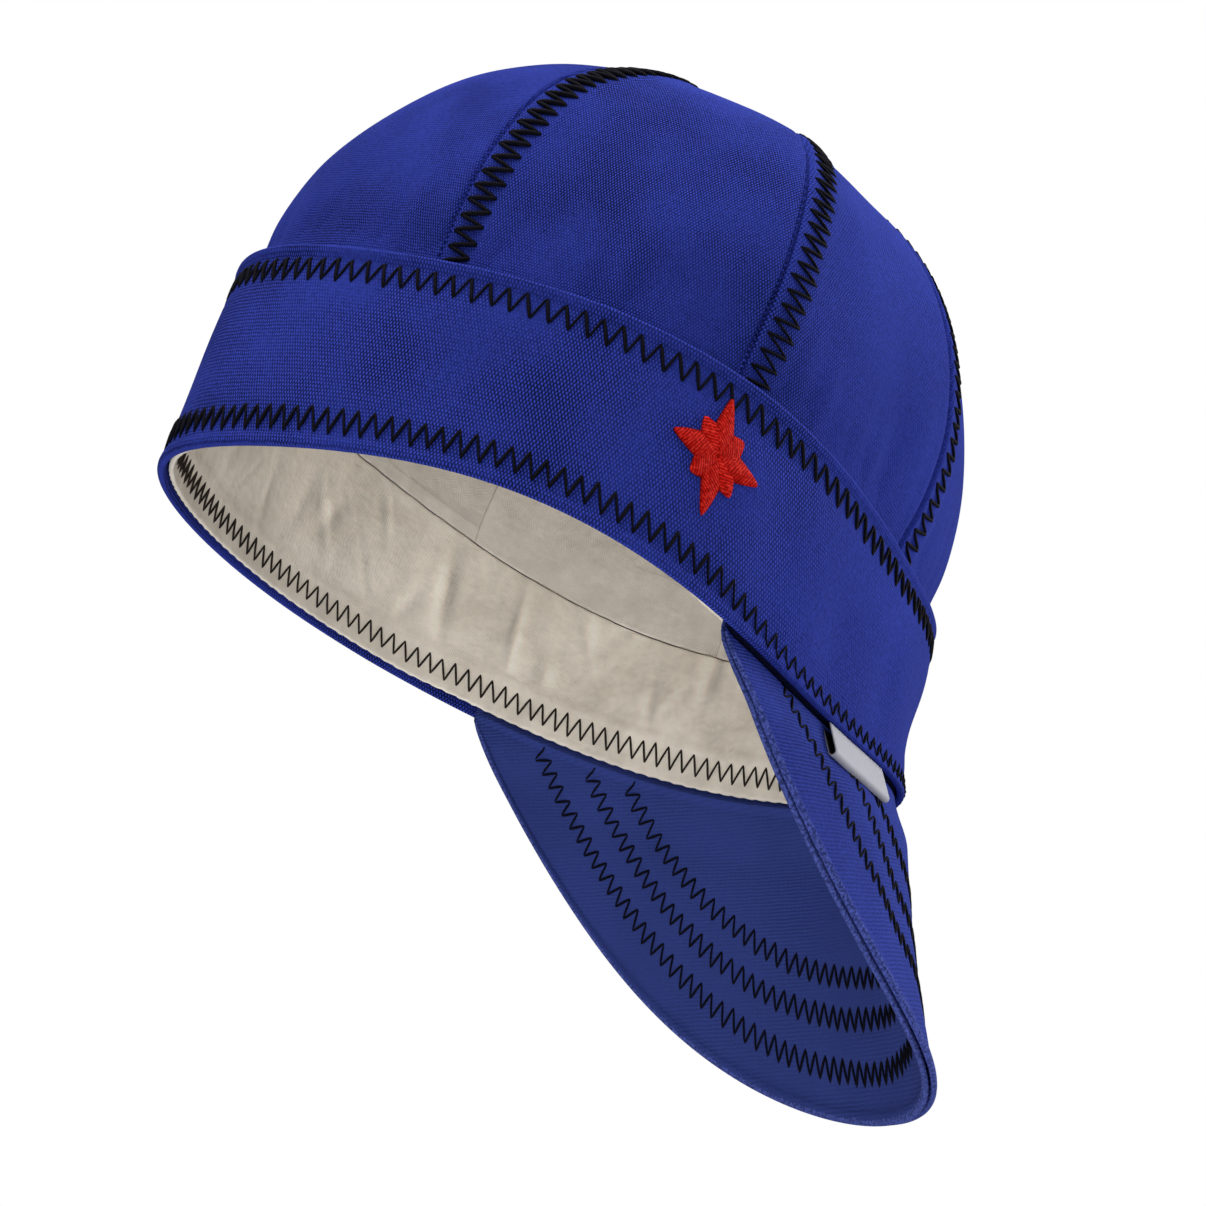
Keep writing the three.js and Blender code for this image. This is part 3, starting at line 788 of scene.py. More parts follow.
def add_threads(name, finish, lines, outward, radii):
    """Short strands of thread: lines and outward are (strands, points, 3), radii (strands,)."""
    strands, points = lines.shape[:2]
    tangent = unit(np.gradient(lines, axis=1))
    across = unit(np.cross(tangent, outward))
    up = np.cross(across, tangent)
    share = np.linspace(0, 1, points)
    swell = mix(STRAND_END, 1, np.sin(pi * share) ** 0.5)
    radius = radii[:, None] * swell
    angles = 2 * pi * np.arange(THREAD_SIDES) / THREAD_SIDES
    ring = (across[:, :, None] * np.cos(angles)[:, None] + up[:, :, None] * np.sin(angles)[:, None])
    places = lines[:, :, None] + ring * radius[:, :, None, None]
    index = np.arange(strands * points * THREAD_SIDES).reshape(strands, points, THREAD_SIDES)
    turned = np.roll(index, -1, axis=2)
    sides = np.stack([index[:, :-1], turned[:, :-1], turned[:, 1:], index[:, 1:]], -1).reshape(-1, 4)
    caps = [index[:, 0][:, [0, 3, 2, 1]], index[:, 0][:, [0, 5, 4, 3]],
            index[:, -1][:, [0, 1, 2, 3]], index[:, -1][:, [0, 3, 4, 5]]]
    quads = np.concatenate([sides, *caps])
    steps = np.linalg.norm(np.diff(lines, axis=1), axis=2)
    length = np.concatenate([np.zeros((strands, 1)), np.cumsum(steps, axis=1)], axis=1)
    round_share = np.arange(THREAD_SIDES) / THREAD_SIDES
    flat = along(length[:, :, None], round_share).reshape(-1, 2)
    return make_piece(name, places.reshape(-1, 3), quads, flat[quads], finish)


def zigzag(surface, length, row, size_at=None):
    """Strands of one zigzag row on a surface: lines, outward directions and radii."""
    count = 2 * max(1, round(length / row["pitch"]))
    steps = np.linspace(0, length, count + 1)
    steps[1::2] += (2 * row["lean"] - 1) * length / count
    steps = steps + rng.uniform(-STITCH_UNEVEN, STITCH_UNEVEN, count + 1) * row["pitch"]
    sides = np.where(np.arange(count + 1) % 2, 1, -1) * row["width"] / 2
    sides = sides * rng.uniform(*STITCH_REACH, count + 1)
    radii = np.where(np.arange(count) % 2, row["thin"], 1) * row["thread"] / 2
    if size_at:
        sides = sides * size_at(steps)
        radii = radii * size_at(steps[1:])
    share = np.linspace(0, 1, STRAND_POINTS)
    s = mix(steps[:-1, None], steps[1:, None], share)
    across = mix(sides[:-1, None], sides[1:, None], share)
    points, outward = surface(s, across)
    bow = mix(STRAND_SUNK, STRAND_PROUD, np.sin(pi * share) ** 0.6)[:, None]
    lines = points + outward * (radii[:, None, None] * bow)
    return lines, outward, radii


def joined(rows):
    """The strands of several rows as those of one."""
    return [np.concatenate(parts) for parts in zip(*rows)]


def grid(columns, rows):
    """Two arrays over the columns and rows of a skin."""
    return np.meshgrid(columns, rows, indexing="ij")


def add_band(finish):
    turns = np.linspace(-pi, pi, round(RIM_ARC[-1] / BAND_STEP) + 1)
    ups = spaced(0, BAND_HEIGHT, BAND_STEP)
    turn, up = grid(turns[:-1], ups)
    level = up / BAND_HEIGHT
    sink = edge_rounding(edge_distance(ups), BAND_WALL)
    face = wall_point(turn, level, sink - band_relief(turn, level))
    back = wall_point(turn, level, BAND_WALL - sink)
    places = along(*grid(rim_length(turns), ups))
    add_cloth("band_cloth", "band", "blue_canvas", finish, face, back, places, closes_round=True)


def runs_apart(turn, low, high, step):
    """Runs about a step of cloth apart, and the length of cloth below each."""
    runs = np.linspace(low, high, 401)
    length = arc_table(wall_point(turn, runs, 0))
    places = spaced(0, length[-1], step)
    return np.interp(places, length, runs), places


def tip_rise():
    """The rise at which a panel ends, short of the middle by the tip's radius."""
    share = 2 * PANEL_TIP_RADIUS / RIM_WIDTH
    return 2 / pi * acos(share ** (CROWN_PLAN_POWER / 2))


def add_panel(name, node, slot, finish, edges, step, low_at, depth_at, wall, relief, gap=GAP):
    """One panel or gore between two seams, kept half a gap clear of each. Relief gives how far
    its outer and inner sides stand proud."""
    start, end = np.radians(edges)
    middle, top = (start + end) / 2, 1 + tip_rise()
    low = low_at(middle)
    run_list, lengths = runs_apart(middle, low, top, step)
    width = (end - start) * radius_at(middle, 0)
    across = spaced(0, width, step)
    share, run = grid(across / width, run_list)
    run = top - (top - run) * (top - low_at(mix(start, end, share))) / (top - low)
    radius = radius_at(np.full_like(run, middle), run - 1)
    clear = gap / 2 / radius
    turn = mix(start + clear, end - clear, share)
    wide = (end - start) * radius
    distance = np.minimum(np.minimum(share, 1 - share) * wide, edge_distance(lengths))
    sink = edge_rounding(distance, wall)
    outer, inner = relief(turn, run)
    face = wall_point(turn, run, depth_at(run) + sink - outer)
    back = wall_point(turn, run, depth_at(run) + wall - sink - inner)
    places = along((share - 0.5) * wide, 0 * run + lengths)
    add_cloth(name, node, slot, finish, face, back, places)


def add_crown(canvas, gore_muslin):
    for n, name in enumerate(PANEL_NAMES):
        edges = [SEAMS[n], SEAMS[n + 1] if n + 1 < len(SEAMS) else SEAMS[0] + 360]
        add_panel("panel_" + name, "crown_panel_" + name, "blue_canvas", canvas, edges, PANEL_STEP,
                  lambda turn: TUCK_LEVEL + 0 * turn, crown_depth, CROWN_WALL,
                  lambda turn, run: (crown_relief(turn, run), 0))
        add_panel("gore_" + name, "crown_lining_" + name, "lining_cotton", gore_muslin, edges,
                  GORE_STEP,
                  lambda turn: junction_level(turn) + GAP / 2 / BAND_HEIGHT,
                  lambda run: crown_depth(run) + CROWN_WALL + GAP, LINING_WALL,
                  lambda turn, run: (0, -np.abs(soft_waves("gore", turn, run))), gap=0)


def lining_skin(turn, up, depth):
    """A point of the band lining: depth 0 is its face towards the band."""
    run = up / BAND_HEIGHT
    high = junction_level(turn) - GAP / 2 / BAND_HEIGHT
    share = (run - ROOT_LEVEL) / (high - ROOT_LEVEL)
    return wall_point(turn, run, lining_depth(turn, run) + fold_depth(turn, share) + depth)


def add_band_lining(finish):
    turns = np.linspace(-pi, pi, round(RIM_ARC[-1] / LINING_STEP) + 1)
    shares = spaced(0, BAND_HEIGHT - JUNCTION_BELOW_TOP, LINING_STEP)
    turn, share = grid(turns[:-1], shares / shares[-1])
    scallop = HEM_SCALLOP * np.cos(2 * pi * rim_length(turn) / HEM_STITCH["pitch"])
    high = BAND_HEIGHT * junction_level(turn) - GAP / 2
    up = mix(LINING_LIFT + scallop, high, share)
    sink = edge_rounding(edge_distance(shares), LINING_WALL)
    hem = HEM_STEP * (1 - ease(up, HEM_HEIGHT - HEM_EDGE, HEM_HEIGHT + HEM_EDGE))
    face = lining_skin(turn, up, sink)
    back = lining_skin(turn, up, LINING_WALL - sink + hem + lining_relief(turn, up))
    places = along(*grid(rim_length(turns), shares))
    # Painted shade and highlight along each crease, and paler along the hem.
    shade = CREASE_PAINTED_SHADING * lining_creases(turn, up) + HEM_TONE * hem / HEM_STEP
    add_cloth("lining_cloth", "band_lining", "lining_cotton", finish, face, back, places,
              closes_round=True, marks=dict(shade=(shade, shade)))


def brim_shift(turn, drop):
    """How far both plies lie back from the plain brim: soft waves, and a root that leaves a dark
    gap under the band's rolled rim."""
    edge = brim_drop_at(turn)
    waves = (soft_waves("brim", turn, drop) * ease(drop, *BRIM_EVEN_ROOT)
             * ease(edge - drop, *BRIM_EVEN_EDGE))
    root = ease(drop, -LINING_LIFT, 0) * (1 - ease(drop, 0.3, BRIM_ROOT_GAP))
    return BRIM_ROOT_SINK * root * ease(edge, BRIM_END_DROP, 8) - waves


def add_brim(canvas):
    even = np.linspace(-1, 1, BRIM_COLUMNS + 1)
    crowded = np.sin(even * pi / 2)
    turns = radians(BRIM_HALF_TURN) * mix(even, crowded, BRIM_END_CROWDING)
    rolled = np.array(ROLL_ROWS) / BRIM_ROLL_WIDTH
    hanging = np.linspace(0, 1, round((BRIM_DROP - BRIM_ROLL_WIDTH) / BRIM_STEP) + 1)[1:]
    hanging = 1 - (1 - hanging) ** BRIM_ROOT_CROWDING
    tucked = np.linspace(0, 1, TUCK_ROWS + 1)[1:]
    rows = np.concatenate([rolled, 1 + hanging, 2 + tucked])
    turn, row = grid(turns, rows)
    edge = brim_drop_at(turn)
    roll = np.minimum(BRIM_ROLL_WIDTH, edge / 3)
    drop = edge - roll * np.minimum(row, 1)
    drop = drop - (edge - roll) * np.clip(row - 1, 0, 1) - BRIM_TUCK * np.clip(row - 2, 0, 1)
    from_edge = edge - drop
    hump = np.sin(pi * np.minimum(row, 1)) ** 0.7 * roll / BRIM_ROLL_WIDTH
    arc = arc_table(brim_point(turns, brim_drop_at(turns), 0))
    from_middle = rim_length(turn) - RIM_ARC[-1] / 2
    place = along(from_middle, drop - BRIM_GRAIN_CLIMB / 2 * from_middle ** 2 / from_middle.max())
    ends = edge_distance(arc)[:, None]
    sink = edge_rounding(np.minimum(from_edge, ends), BRIM_PLY)
    flare = BRIM_FLARE * (1 - ease(from_edge, 0, BRIM_FLARE_WIDTH)) * roll / BRIM_ROLL_WIDTH
    shown_side = brim_dips(turn, drop) - BRIM_ROLL_PROUD * hump
    for name, depth in (("outer", 0), ("inner", BRIM_PLY + GAP)):
        face_dip, back_dip = (shown_side, 0) if name == "outer" else (0, shown_side)
        shift = depth + brim_shift(turn, drop) + (-flare if name == "outer" else flare)
        face = brim_point(turn, drop, shift + sink + face_dip)
        back = brim_point(turn, drop, shift + BRIM_PLY - sink - back_dip)
        add_cloth(f"brim_{name}_ply", "brim_" + name, "brim_canvas", canvas[name], face, back, place,
                  marks=dict(from_edge=(from_edge, from_edge), below_band=(drop, drop)))


def course_line(course):
    """Turns, drops and lengths along one stitch row of the brim."""
    turn = np.radians(np.linspace(-course["right"], course["left"], COURSE_POINTS))
    side = np.where(turn > 0, radians(course["left"]), radians(course["right"]))
    power = np.where(turn > 0, course["left_power"], course["right_power"])
    share = np.clip(np.abs(turn) / side, 0, 1) ** power
    drop = course["middle"] * BRIM_DROP * (1 - share) ** course["taper"]
    return turn, drop, arc_table(brim_point(turn, drop, 0))


def brim_dips(turn, drop):
    """How deep the brim's cloth is pulled in along its stitch rows."""
    dip = 0
    for course in BRIM_COURSES:
        turns, drops, _ = course_line(course)
        at = np.interp(turn, turns, drops, left=-99, right=-99)
        dip = dip + BRIM_PULL * bell(drop - at, BRIM_STITCH["width"] * 0.6)
    return dip


def brim_surface(course, inner):
    """The brim's cloth along a stitch row, as a function of the length along it and the distance
    across it, and the row's length."""
    turns, drops, lengths = course_line(course)
    depth = BRIM_THICKNESS - BRIM_PULL if inner else BRIM_PULL

    def skin(turn, drop):
        return brim_point(turn, drop, depth + brim_shift(turn, drop))

    def at(s):
        return np.interp(s, lengths, turns), np.interp(s, lengths, drops)

    def surface(s, across):
        step, wide = 0.5, 0.01
        turn, drop = at(s + COURSE_START)
        way_round = skin(turn + wide, drop) - skin(turn - wide, drop)
        radius = np.linalg.norm(way_round, axis=-1) / (2 * wide)
        ahead, behind = at(s + COURSE_START + step), at(s + COURSE_START - step)
        round_way, down_way = (ahead[0] - behind[0]) * radius, ahead[1] - behind[1]
        length = np.hypot(round_way, down_way)
        turn = turn - across * down_way / length / radius
        drop = drop + across * round_way / length
        outward = brim_outward(turn, np.maximum(drop, 0))
        return skin(turn, drop), -outward if inner else outward

    return surface, lengths[-1] - 2 * COURSE_START


def seam_surface(seam):
    """The crown's cloth beside a seam, in the same form."""
    lengths = seam_arc(seam)
    radii = radius_at(np.full_like(RISES, radians(seam)), RISES)
    last = np.interp(-SEAM_STITCH_STOP, -radii, lengths)

    def surface(s, across):
        rise = np.interp(s + SEAM_STITCH_START, lengths, RISES)
        radius = radius_at(np.full_like(rise, radians(seam)), rise)
        offset = (SEAM_STITCH["centre"] + across) / radius
        turn = radians(seam) - copysign(1, seam) * offset
        run = 1 + rise
        point = wall_point(turn, run, crown_depth(run) - crown_relief(turn, run))
        return point, crown_outward(turn, rise)

    return surface, last - SEAM_STITCH_START


def band_surface(row, from_top):
    """The band's cloth along a row near its top or its rim, in the same form."""
    def surface(s, across):
        turn = rim_turn(s)
        up = BAND_HEIGHT - row["centre"] - across if from_top else rim_row_height(turn) + across
        level = up / BAND_HEIGHT
        point = wall_point(turn, level, -band_relief(turn, level))
        return point, outward_at(turn, level)

    return surface, RIM_ARC[-1]


def hem_surface():
    """The band lining's cloth along its hem, in the same form."""
    def surface(s, across):
        turn = rim_turn(s)
        up = HEM_STITCH["centre"] + across
        point = lining_skin(turn, up, LINING_WALL + HEM_STEP + lining_relief(turn, up))
        return point, -outward_at(turn, up / BAND_HEIGHT)

    return surface, RIM_ARC[-1]


def add_stitches(black, brown):
    rows = [BACK_SEAM_STITCH if abs(seam) > BACK_SEAMS_FROM else SEAM_STITCH for seam in SEAMS]
    seams = [zigzag(*seam_surface(seam), row) for seam, row in zip(SEAMS, rows)]
    add_threads("stitches_crown", black, *joined(seams))
    add_threads("stitches_band_top", black, *zigzag(*band_surface(TOP_STITCH, True), TOP_STITCH))
    add_threads("stitches_band_rim", black,
                *zigzag(*band_surface(RIM_STITCH, False), RIM_STITCH, rim_row_size))
    add_threads("stitches_hem", brown, *zigzag(*hem_surface(), HEM_STITCH))
    for side, inner in (("outer", False), ("inner", True)):
        rows = [zigzag(*brim_surface(course, inner), BRIM_STITCH) for course in BRIM_COURSES]
        add_threads("stitches_brim_" + side, black, *joined(rows))


def add_tag(finish):
    """A folded length of tape that hangs from the seam at the rim and stands off the brim."""
    middle = ring_point("rim", radians(TAG_TURN))
    half = TAG_LENGTH / 2 / hypot(middle[0], middle[1])
    turns = radians(TAG_TURN) + half * np.linspace(-1, 1, TAG_STEPS + 1)
    bend = TAG_SPREAD / 2
    fold = np.radians(np.linspace(-90, 90, TAG_FOLD_STEPS + 1)[1:-1])
    down = np.linspace(0, TAG_DROP - bend, TAG_DOWN_STEPS + 1)
    path = np.concatenate([
        along(down, 0),
        along(TAG_DROP - bend + bend * np.cos(fold), bend + bend * np.sin(fold)),
        along(down[::-1], TAG_SPREAD),
    ])
    normal = np.gradient(path, axis=0)
    normal = unit(along(normal[:, 1], -normal[:, 0]))
    lean = radians(TAG_LEAN)
    sides = []
    for thick in (0, TAG_TAPE):
        line = path - normal * thick
        turn, x = grid(turns, line[:, 0])
        _, depth = grid(turns, line[:, 1])
        level = sin(lean) * x - cos(lean) * depth
        point = wall_point(turn, 0 * turn, 0 * turn) + outward_at(turn, 0 * turn) * level[..., None]
        point[..., 2] -= cos(lean) * x + sin(lean) * depth + GAP
        sides.append(point)
    places = along(*grid(np.linspace(0, TAG_LENGTH, TAG_STEPS + 1), arc_table(path)))
    outside = np.zeros(sides[0].shape[:2])
    add_cloth("tag_tape", "side_tag", "tag_weave", finish, *sides, places,
              marks=dict(inside=(outside, outside + 1)))


def add_emblem(finish):
    """A plain rosette of raised satin-stitched leaves, long and short in turns."""
    radius = np.linalg.norm(ring_point("rim", radians(EMBLEM_TURN)))
    share, across = grid(np.linspace(0, 1, LEAF_LONG_STEPS + 1),
                         np.linspace(-1, 1, LEAF_WIDE_STEPS + 1))
    points, quads, places, edges = [], [], [], []
    for ray in range(EMBLEM_RAYS):
        angle = 2 * pi * ray / EMBLEM_RAYS
        reach = EMBLEM_SHORT_RAY if ray % 2 else 1
        widest = EMBLEM_VALLEY / reach
        width = np.minimum(share / widest, (1 - share) / (1 - widest)) ** LEAF_POINT
        aside, out = LEAF_HALF_WIDTH * width * across, share * reach
        x = aside * cos(angle) + out * sin(angle)
        y = -aside * sin(angle) + out * cos(angle)
        swell = np.sqrt(np.clip(1 - across ** 2, 0, 1)) * np.minimum(1, width / LEAF_FULL_FROM) ** 0.5
        turn = radians(EMBLEM_TURN) + EMBLEM_WIDTH / 2 * x / radius
        level = (EMBLEM_UP + EMBLEM_HEIGHT / 2 * y) / BAND_HEIGHT
        for depth in (-GAP - LEAF_HEIGHT * swell, LEAF_ROOT):
            points.append(wall_point(turn, level, depth).reshape(-1, 3))
            edges.append(np.abs(across).ravel())
        place = along(aside * EMBLEM_WIDTH / 2, out * EMBLEM_HEIGHT / 2)
        leaf_quads, leaf_places = skin_faces(*share.shape, False, place)
        quads.append(2 * ray * share.size + leaf_quads)
        places.append(leaf_places)
    points, quads, places, edges = (np.concatenate(x) for x in (points, quads, places, edges))
    piece = make_piece("emblem_leaves", points, quads, places, finish, dict(to_side=edges))
    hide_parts("emblem")


def worked(operation):
    """A method that puts a value and another number through a maths node."""
    return lambda value, other: value.shader.math(operation, value, other)


class Value:
    """A number that a material works out at each point, to be added and multiplied."""

    def __init__(self, shader, socket):
        self.shader, self.socket = shader, socket

    __add__, __sub__, __mul__ = worked("ADD"), worked("SUBTRACT"), worked("MULTIPLY")
    __truediv__, __pow__, __lt__ = worked("DIVIDE"), worked("POWER"), worked("LESS_THAN")
    at_least, at_most = worked("MAXIMUM"), worked("MINIMUM")

    def wave(self, pitch):
        """A wave between -1 and 1 that repeats at each pitch."""
        return self.shader.math("COSINE", self * (2 * pi / pitch))


class Shader:
    """The nodes of one material."""

    def __init__(self, name):
        self.material = bpy.data.materials.new(name)
        self.material.use_nodes = True
        self.tree = self.material.node_tree
        self.surface = self.tree.nodes["Principled BSDF"]

    def node(self, kind, **settings):
        node = self.tree.nodes.new(kind)
        for key, value in settings.items():
            setattr(node, key, value)
        return node

    def feed(self, socket, value):
        if isinstance(value, Value):
            value = value.socket
        if isinstance(value, bpy.types.NodeSocket):
            self.tree.links.new(value, socket)
        else:
            socket.default_value = value

    def math(self, operation, *values):
        node = self.node("ShaderNodeMath", operation=operation)
        for socket, value in zip(node.inputs, values):
            self.feed(socket, value)
        return Value(self, node.outputs[0])

    def split(self, vector):
        node = self.node("ShaderNodeSeparateXYZ")
        self.feed(node.inputs[0], vector)
        return [Value(self, out) for out in node.outputs]

    def object_place(self):
        return self.node("ShaderNodeTexCoord").outputs["Object"]

    def cloth_place(self):
        """The cloth map's two directions, in millimetres."""
        u, v, _ = self.split(self.node("ShaderNodeUVMap", uv_map="cloth").outputs[0])
        return u / MM, v / MM

    def mark(self, name):
        """A value that the mesh carries at its points."""
        return Value(self, self.node("ShaderNodeAttribute", attribute_name=name).outputs["Fac"])

    def from_front(self, front, back, at_front, at_back):
        """A value that changes from the front of the cap to the back, between two places."""
        node = self.node("ShaderNodeMapRange")
        settings = (self.split(self.object_place())[1], front * MM, back * MM, at_front, at_back)
        for socket, value in zip(node.inputs, settings):
            self.feed(socket, value)
        return Value(self, node.outputs[0])

    def noise(self, scale, detail=2.0, place=None):
        """Noise about 0, with its scale per metre of the object, or of a place."""
        node = self.node("ShaderNodeTexNoise")
        self.feed(node.inputs["Vector"], place or self.object_place())
        self.feed(node.inputs["Scale"], scale)
        self.feed(node.inputs["Detail"], detail)
        return Value(self, node.outputs[0]) - 0.5

    def mixed(self, share, low, high):
        node = self.node("ShaderNodeMix", data_type="RGBA")
        self.feed(node.inputs[0], share)
        self.feed(node.inputs[6], low)
        self.feed(node.inputs[7], high)
        return node.outputs[2]

    def bump(self, height, distance, strength=1.0):
        node = self.node("ShaderNodeBump")
        self.feed(node.inputs["Height"], height)
        self.feed(node.inputs["Distance"], distance * MM)
        self.feed(node.inputs["Strength"], strength)
        self.feed(self.surface.inputs["Normal"], node.outputs[0])

    def finish(self, color, roughness, specular=0.3):
        self.feed(self.surface.inputs["Base Color"], color)
        self.feed(self.surface.inputs["Roughness"], roughness)
        self.feed(self.surface.inputs["Specular IOR Level"], specular)
        return self.material


def tone(color, share=1.0):
    return (*[c * share for c in color], 1.0)


def canvas_finish(name, color, contrast, scale=1.0, ribs=None, frayed=False, gap=False):
    """Cotton canvas: a brick weave of raised dots, or broken ribs, worn smooth in patches. The
    brim's is frayed at its edge, worn paler there with a painted highlight, and has painted shade
    in the gap under the band."""
    shader = Shader(name)
    u, v = shader.cloth_place()
    u = u + shader.noise(220) * WEAVE_WARP
    v = v + shader.noise(300) * WEAVE_WARP
    if ribs:
        weave = v.wave(ribs) * (u.wave(1.7 * ribs) * 0.35 + 0.75)
    else:
        row = WEAVE_ROW * scale
        dots = u.wave(WEAVE_DOT * scale) * v.wave(2 * row)
        weave = dots * 0.95 + v.wave(row) * 0.33
    patches, slubs, mottle = shader.noise(36), shader.noise(1100), shader.noise(24, 3)
    wear = (patches * 3.6 + 0.9).at_least(0.15).at_most(1.5) * shader.from_front(-48, -10, 0.35, 1)
    height = slubs * 0.9 + weave * wear
    # The weave's height is painted into the colour as shade between the threads and highlight on
    # their tops, less of it in worn patches and towards the front; the mottle is uneven tone.
    shade = (height * contrast + 1 + mottle * 0.5).at_least(0.15)
    cloth = shader.mixed(shade * 0.5, tone(color, 0), tone(color, 2))
    if frayed:
        # The frayed edge is worn paler, and painted lighter still as a highlight on the roll.
        near_edge = shader.noise(900) * 1.2 + shader.mark("from_edge") < 1.2
        fray = shader.noise(1500, 1) * 3.2 + 0.5
        worn = shader.mixed(fray, tone(WORN_AND_HIGHLIGHT_BLUE, 0.35), tone(WORN_AND_HIGHLIGHT_BLUE, 1.4))
        cloth = shader.mixed(near_edge * 0.75, cloth, worn)
    if gap:
        # Painted shade: the outer ply turns almost black just under the band, where the gap's shadow
        # falls.
        dark = (shader.mark("below_band") * -2 + 1.5).at_least(0).at_most(0.9)
        cloth = shader.mixed(dark, cloth, tone(THREAD_BLACK))
    shader.bump(height, 0.14)
    return shader.finish(cloth, 0.95, specular=0.06)


def muslin_finish(name, color):
    """Soft cream cotton with fine slubs, broad creases and upright streaks."""
    shader = Shader(name)
    u, v = shader.cloth_place()
    drawn_out = shader.node("ShaderNodeCombineXYZ")
    shader.feed(drawn_out.inputs[0], u)
    shader.feed(drawn_out.inputs[1], v * 0.3)
    streaks = shader.noise(0.16, 3, drawn_out.outputs[0])
    u = u + shader.noise(200) * 1.6
    weave = u.wave(0.62) * v.wave(0.62)
    slubs, creases, mottle = shader.noise(500, 3), shader.noise(48, 4), shader.noise(17)
    # The shade mark paints shade and highlight along the creases and a paler hem; the creases' noise
    # is painted in as their shade too, and slubs, streaks and mottle are uneven tone.
    shade = shader.mark("shade") + 1 + weave * 0.05
    shade = shade + slubs * 0.3 + creases * 0.45 + streaks * 0.7 + mottle * 0.45
    # Painted light: the muslin is paler towards the front of the cap and darker towards the back.
    shade = shade * shader.from_front(-65, 75, 1.1, 0.81)
    shader.bump(creases * 90 + weave + slubs, 0.06, 0.8)
    cloth = shader.mixed(shade * 0.5, tone(color, 0.5), tone(color, 1.5))
    return shader.finish(cloth, 0.95, specular=0.1)


def thread_finish(name, color, pitch, specular):
    """Twisted thread: its plies run round it as it goes along."""
    shader = Shader(name)
    along_it, round_it = shader.cloth_place()
    twist = (along_it + round_it * (MM * pitch)).wave(pitch)
    shader.bump(twist, 0.06, 0.6)
    strand = shader.mixed(twist * 0.3 + 0.5, tone(color, 0.6), tone(color, 1.4))
    return shader.finish(strand, 0.75, specular=specular)


def satin_finish(name, color, painted_highlight):
    """Satin stitches slantwise across a leaf, with painted shade between them and at the leaf's
    sides, uneven in tone, and painted highlights in places.
    """
    shader = Shader(name)
    u, v = shader.cloth_place()
    lines = (shader.noise(400) * 0.7 + u * 0.75 + v).wave(0.85)
    uneven = shader.noise(1300)
    thread = shader.mixed(lines * 0.25 + uneven * 1.3 + 0.55, tone(color, 0.35), tone(color, 1.3))
    # Painted highlights where the satin is uneven.
    highlight_share = (uneven * 2.4 + lines * 0.2).at_least(0).at_most(0.7)
    thread = shader.mixed(highlight_share, thread, tone(painted_highlight))
    # Painted shade along the leaf's sides.
    side_shade = shader.mark("to_side") ** 8 * 0.85
    thread = shader.mixed(side_shade, thread, tone(color, 0.08))
    shader.bump(lines, 0.2)
    return shader.finish(thread, 0.65, specular=0.05)


def tape_finish(name, color):
    """Woven tape, pale outside, and painted black inside its fold as shade."""
    shader = Shader(name)
    u, v = shader.cloth_place()
    weave = u.wave(0.4) * v.wave(0.5)
    shader.bump(weave, 0.04, 0.5)
    tape = shader.mixed(weave * 0.25 + 0.5, tone(color, 0.85), tone(color, 1.12))
    # Painted shade: the inside of the fold is black.
    cloth = shader.mixed(shader.mark("inside"), tape, tone(THREAD_BLACK))
    return shader.finish(cloth, 0.6, specular=0.2)


def add_camera():
    azimuth, elevation, roll = (radians(CAMERA[k]) for k in ("azimuth", "elevation", "roll"))
    across = cos(elevation)
    back = Vector((sin(azimuth) * across, -cos(azimuth) * across, sin(elevation)))
    level = Vector((cos(azimuth), sin(azimuth), 0))
    upright = back.cross(level)
    right = cos(roll) * level + sin(roll) * upright
    up = cos(roll) * upright - sin(roll) * level
    data = bpy.data.cameras.new("camera")
    data.lens = CAMERA["lens"]
    data.sensor_width = 36
    data.shift_x, data.shift_y = CAMERA["shift"]
    camera = placed("camera", data)
    axes = Matrix((right, up, back)).transposed().to_4x4()
    camera.matrix_world = Matrix.Translation(back * CAMERA["distance"]) @ axes
    bpy.context.scene.camera = camera
    return right, up, back


def add_light(name, axes, place, size, power):
    """A soft square light at a place along the camera's right, up and back, turned to the cap."""
    right, up, back = axes
    spot = right * place[0] + up * place[1] + back * place[2]
    data = bpy.data.lights.new(name, "AREA")
    data.size = size
    data.energy = power
    light = placed(name, data)
    light.location = spot
    light.rotation_euler = spot.to_track_quat("Z", "Y").to_euler()


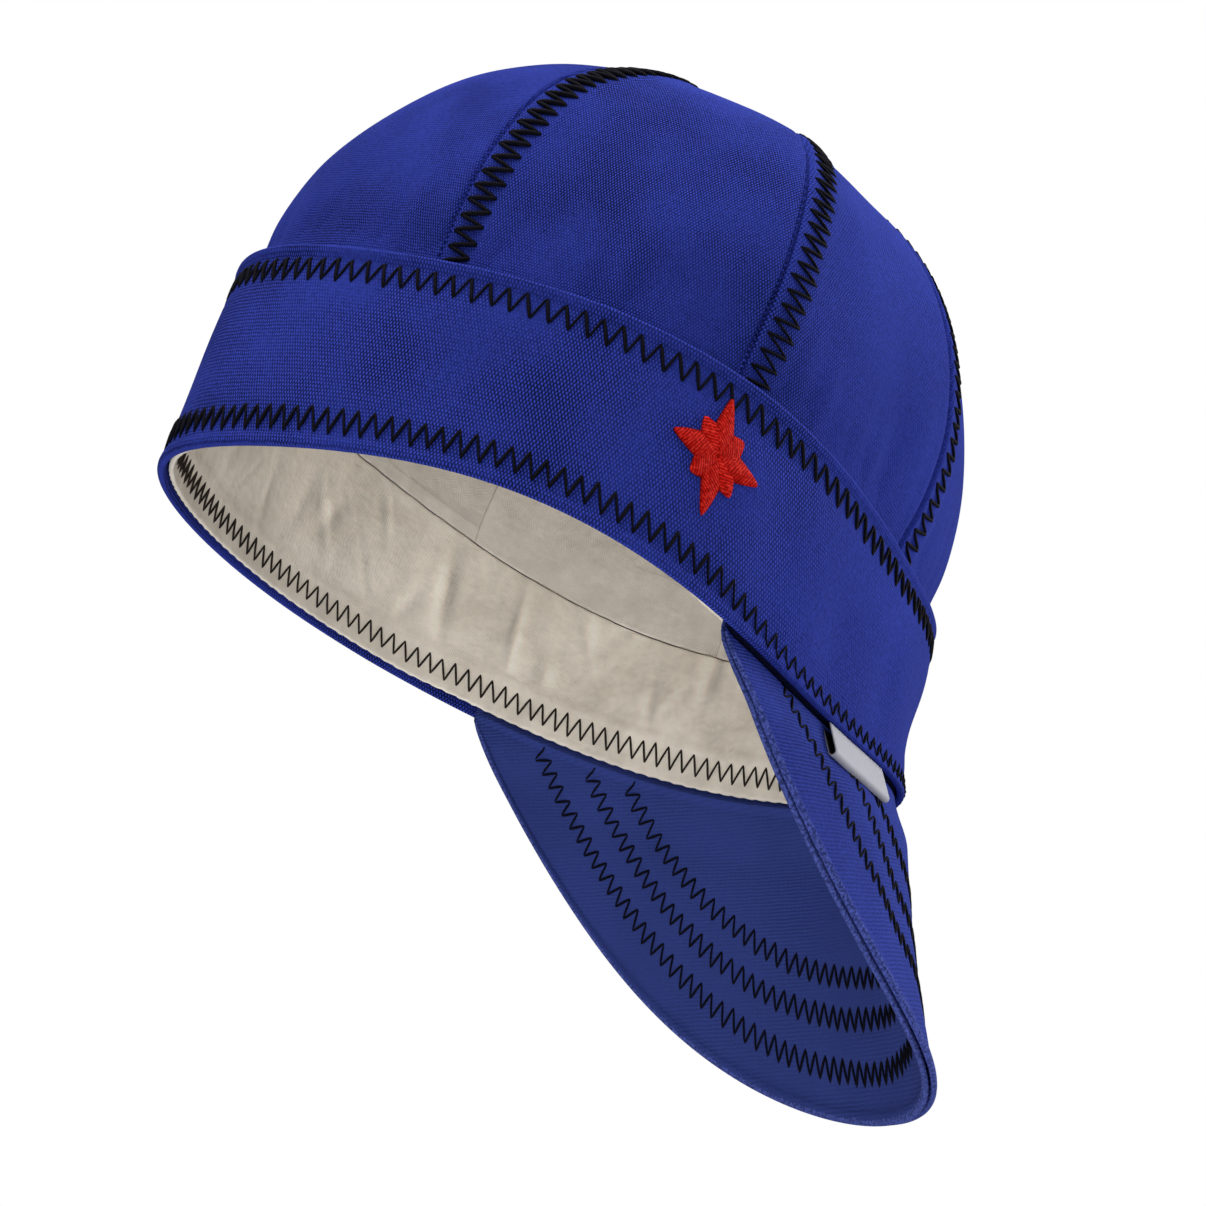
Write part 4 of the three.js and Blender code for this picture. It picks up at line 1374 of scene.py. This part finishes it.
def add_room():
    """White surroundings that light the cap softly, and a floor that is paler to the camera than
    the light it throws back."""
    world = bpy.data.worlds.new("studio")
    world.use_nodes = True
    nodes, links = world.node_tree.nodes, world.node_tree.links
    nodes.clear()
    both = nodes.new("ShaderNodeMixShader")
    for socket, strength in zip(both.inputs[1:], (AMBIENT, 1)):
        light = nodes.new("ShaderNodeBackground")
        light.inputs[0].default_value = WHITE
        light.inputs[1].default_value = strength
        links.new(light.outputs[0], socket)
    links.new(nodes.new("ShaderNodeLightPath").outputs["Is Camera Ray"], both.inputs[0])
    links.new(both.outputs[0], nodes.new("ShaderNodeOutputWorld").inputs[0])
    bpy.context.scene.world = world
    half = FLOOR_SIZE / 2
    mesh = bpy.data.meshes.new("floor")
    corners = [(-half, -half), (half, -half), (half, half), (-half, half)]
    mesh.from_pydata([(x, y, FLOOR_HEIGHT) for x, y in corners], [], [(0, 1, 2, 3)])
    paint = Shader("floor")
    seen = Value(paint, paint.node("ShaderNodeLightPath").outputs["Is Camera Ray"])
    paint.feed(paint.surface.inputs["Emission Color"], WHITE)
    paint.feed(paint.surface.inputs["Emission Strength"], seen * FLOOR_GLOW)
    mesh.materials.append(paint.finish(FLOOR_WHITE, 0.9))
    placed("floor", mesh)


band_canvas = canvas_finish("band_canvas_weave", CANVAS_BLUE, 1.05)
crown_canvas = canvas_finish("crown_canvas_weave", CANVAS_BLUE, 0.85, scale=CROWN_FINER)
brim_canvas = {
    "outer": canvas_finish("brim_canvas_ribbed", BRIM_OUTER_BLUE, 0.75, ribs=BRIM_RIB, frayed=True,
                           gap=True),
    "inner": canvas_finish("brim_canvas_plain", BRIM_BLUE, 0.22, ribs=BRIM_RIB, frayed=True),
}
black = thread_finish("thread_black", THREAD_BLACK, 0.55, 0.06)
brown = thread_finish("thread_brown", THREAD_BROWN, 0.45, 0.1)

add_band(band_canvas)
add_crown(crown_canvas, muslin_finish("crown_lining_muslin", GORE_CREAM))
add_band_lining(muslin_finish("band_lining_muslin", MUSLIN_CREAM))
add_brim(brim_canvas)
add_tag(tape_finish("tag_tape", TAPE_GREY))
add_emblem(satin_finish("emblem_satin", EMBLEM_RED, EMBLEM_PAINTED_HIGHLIGHT))
add_stitches(black, brown)

camera_axes = add_camera()
for light in LIGHTS:
    add_light(axes=camera_axes, **light)
add_room()
bpy.context.scene.view_settings.view_transform = "Standard"
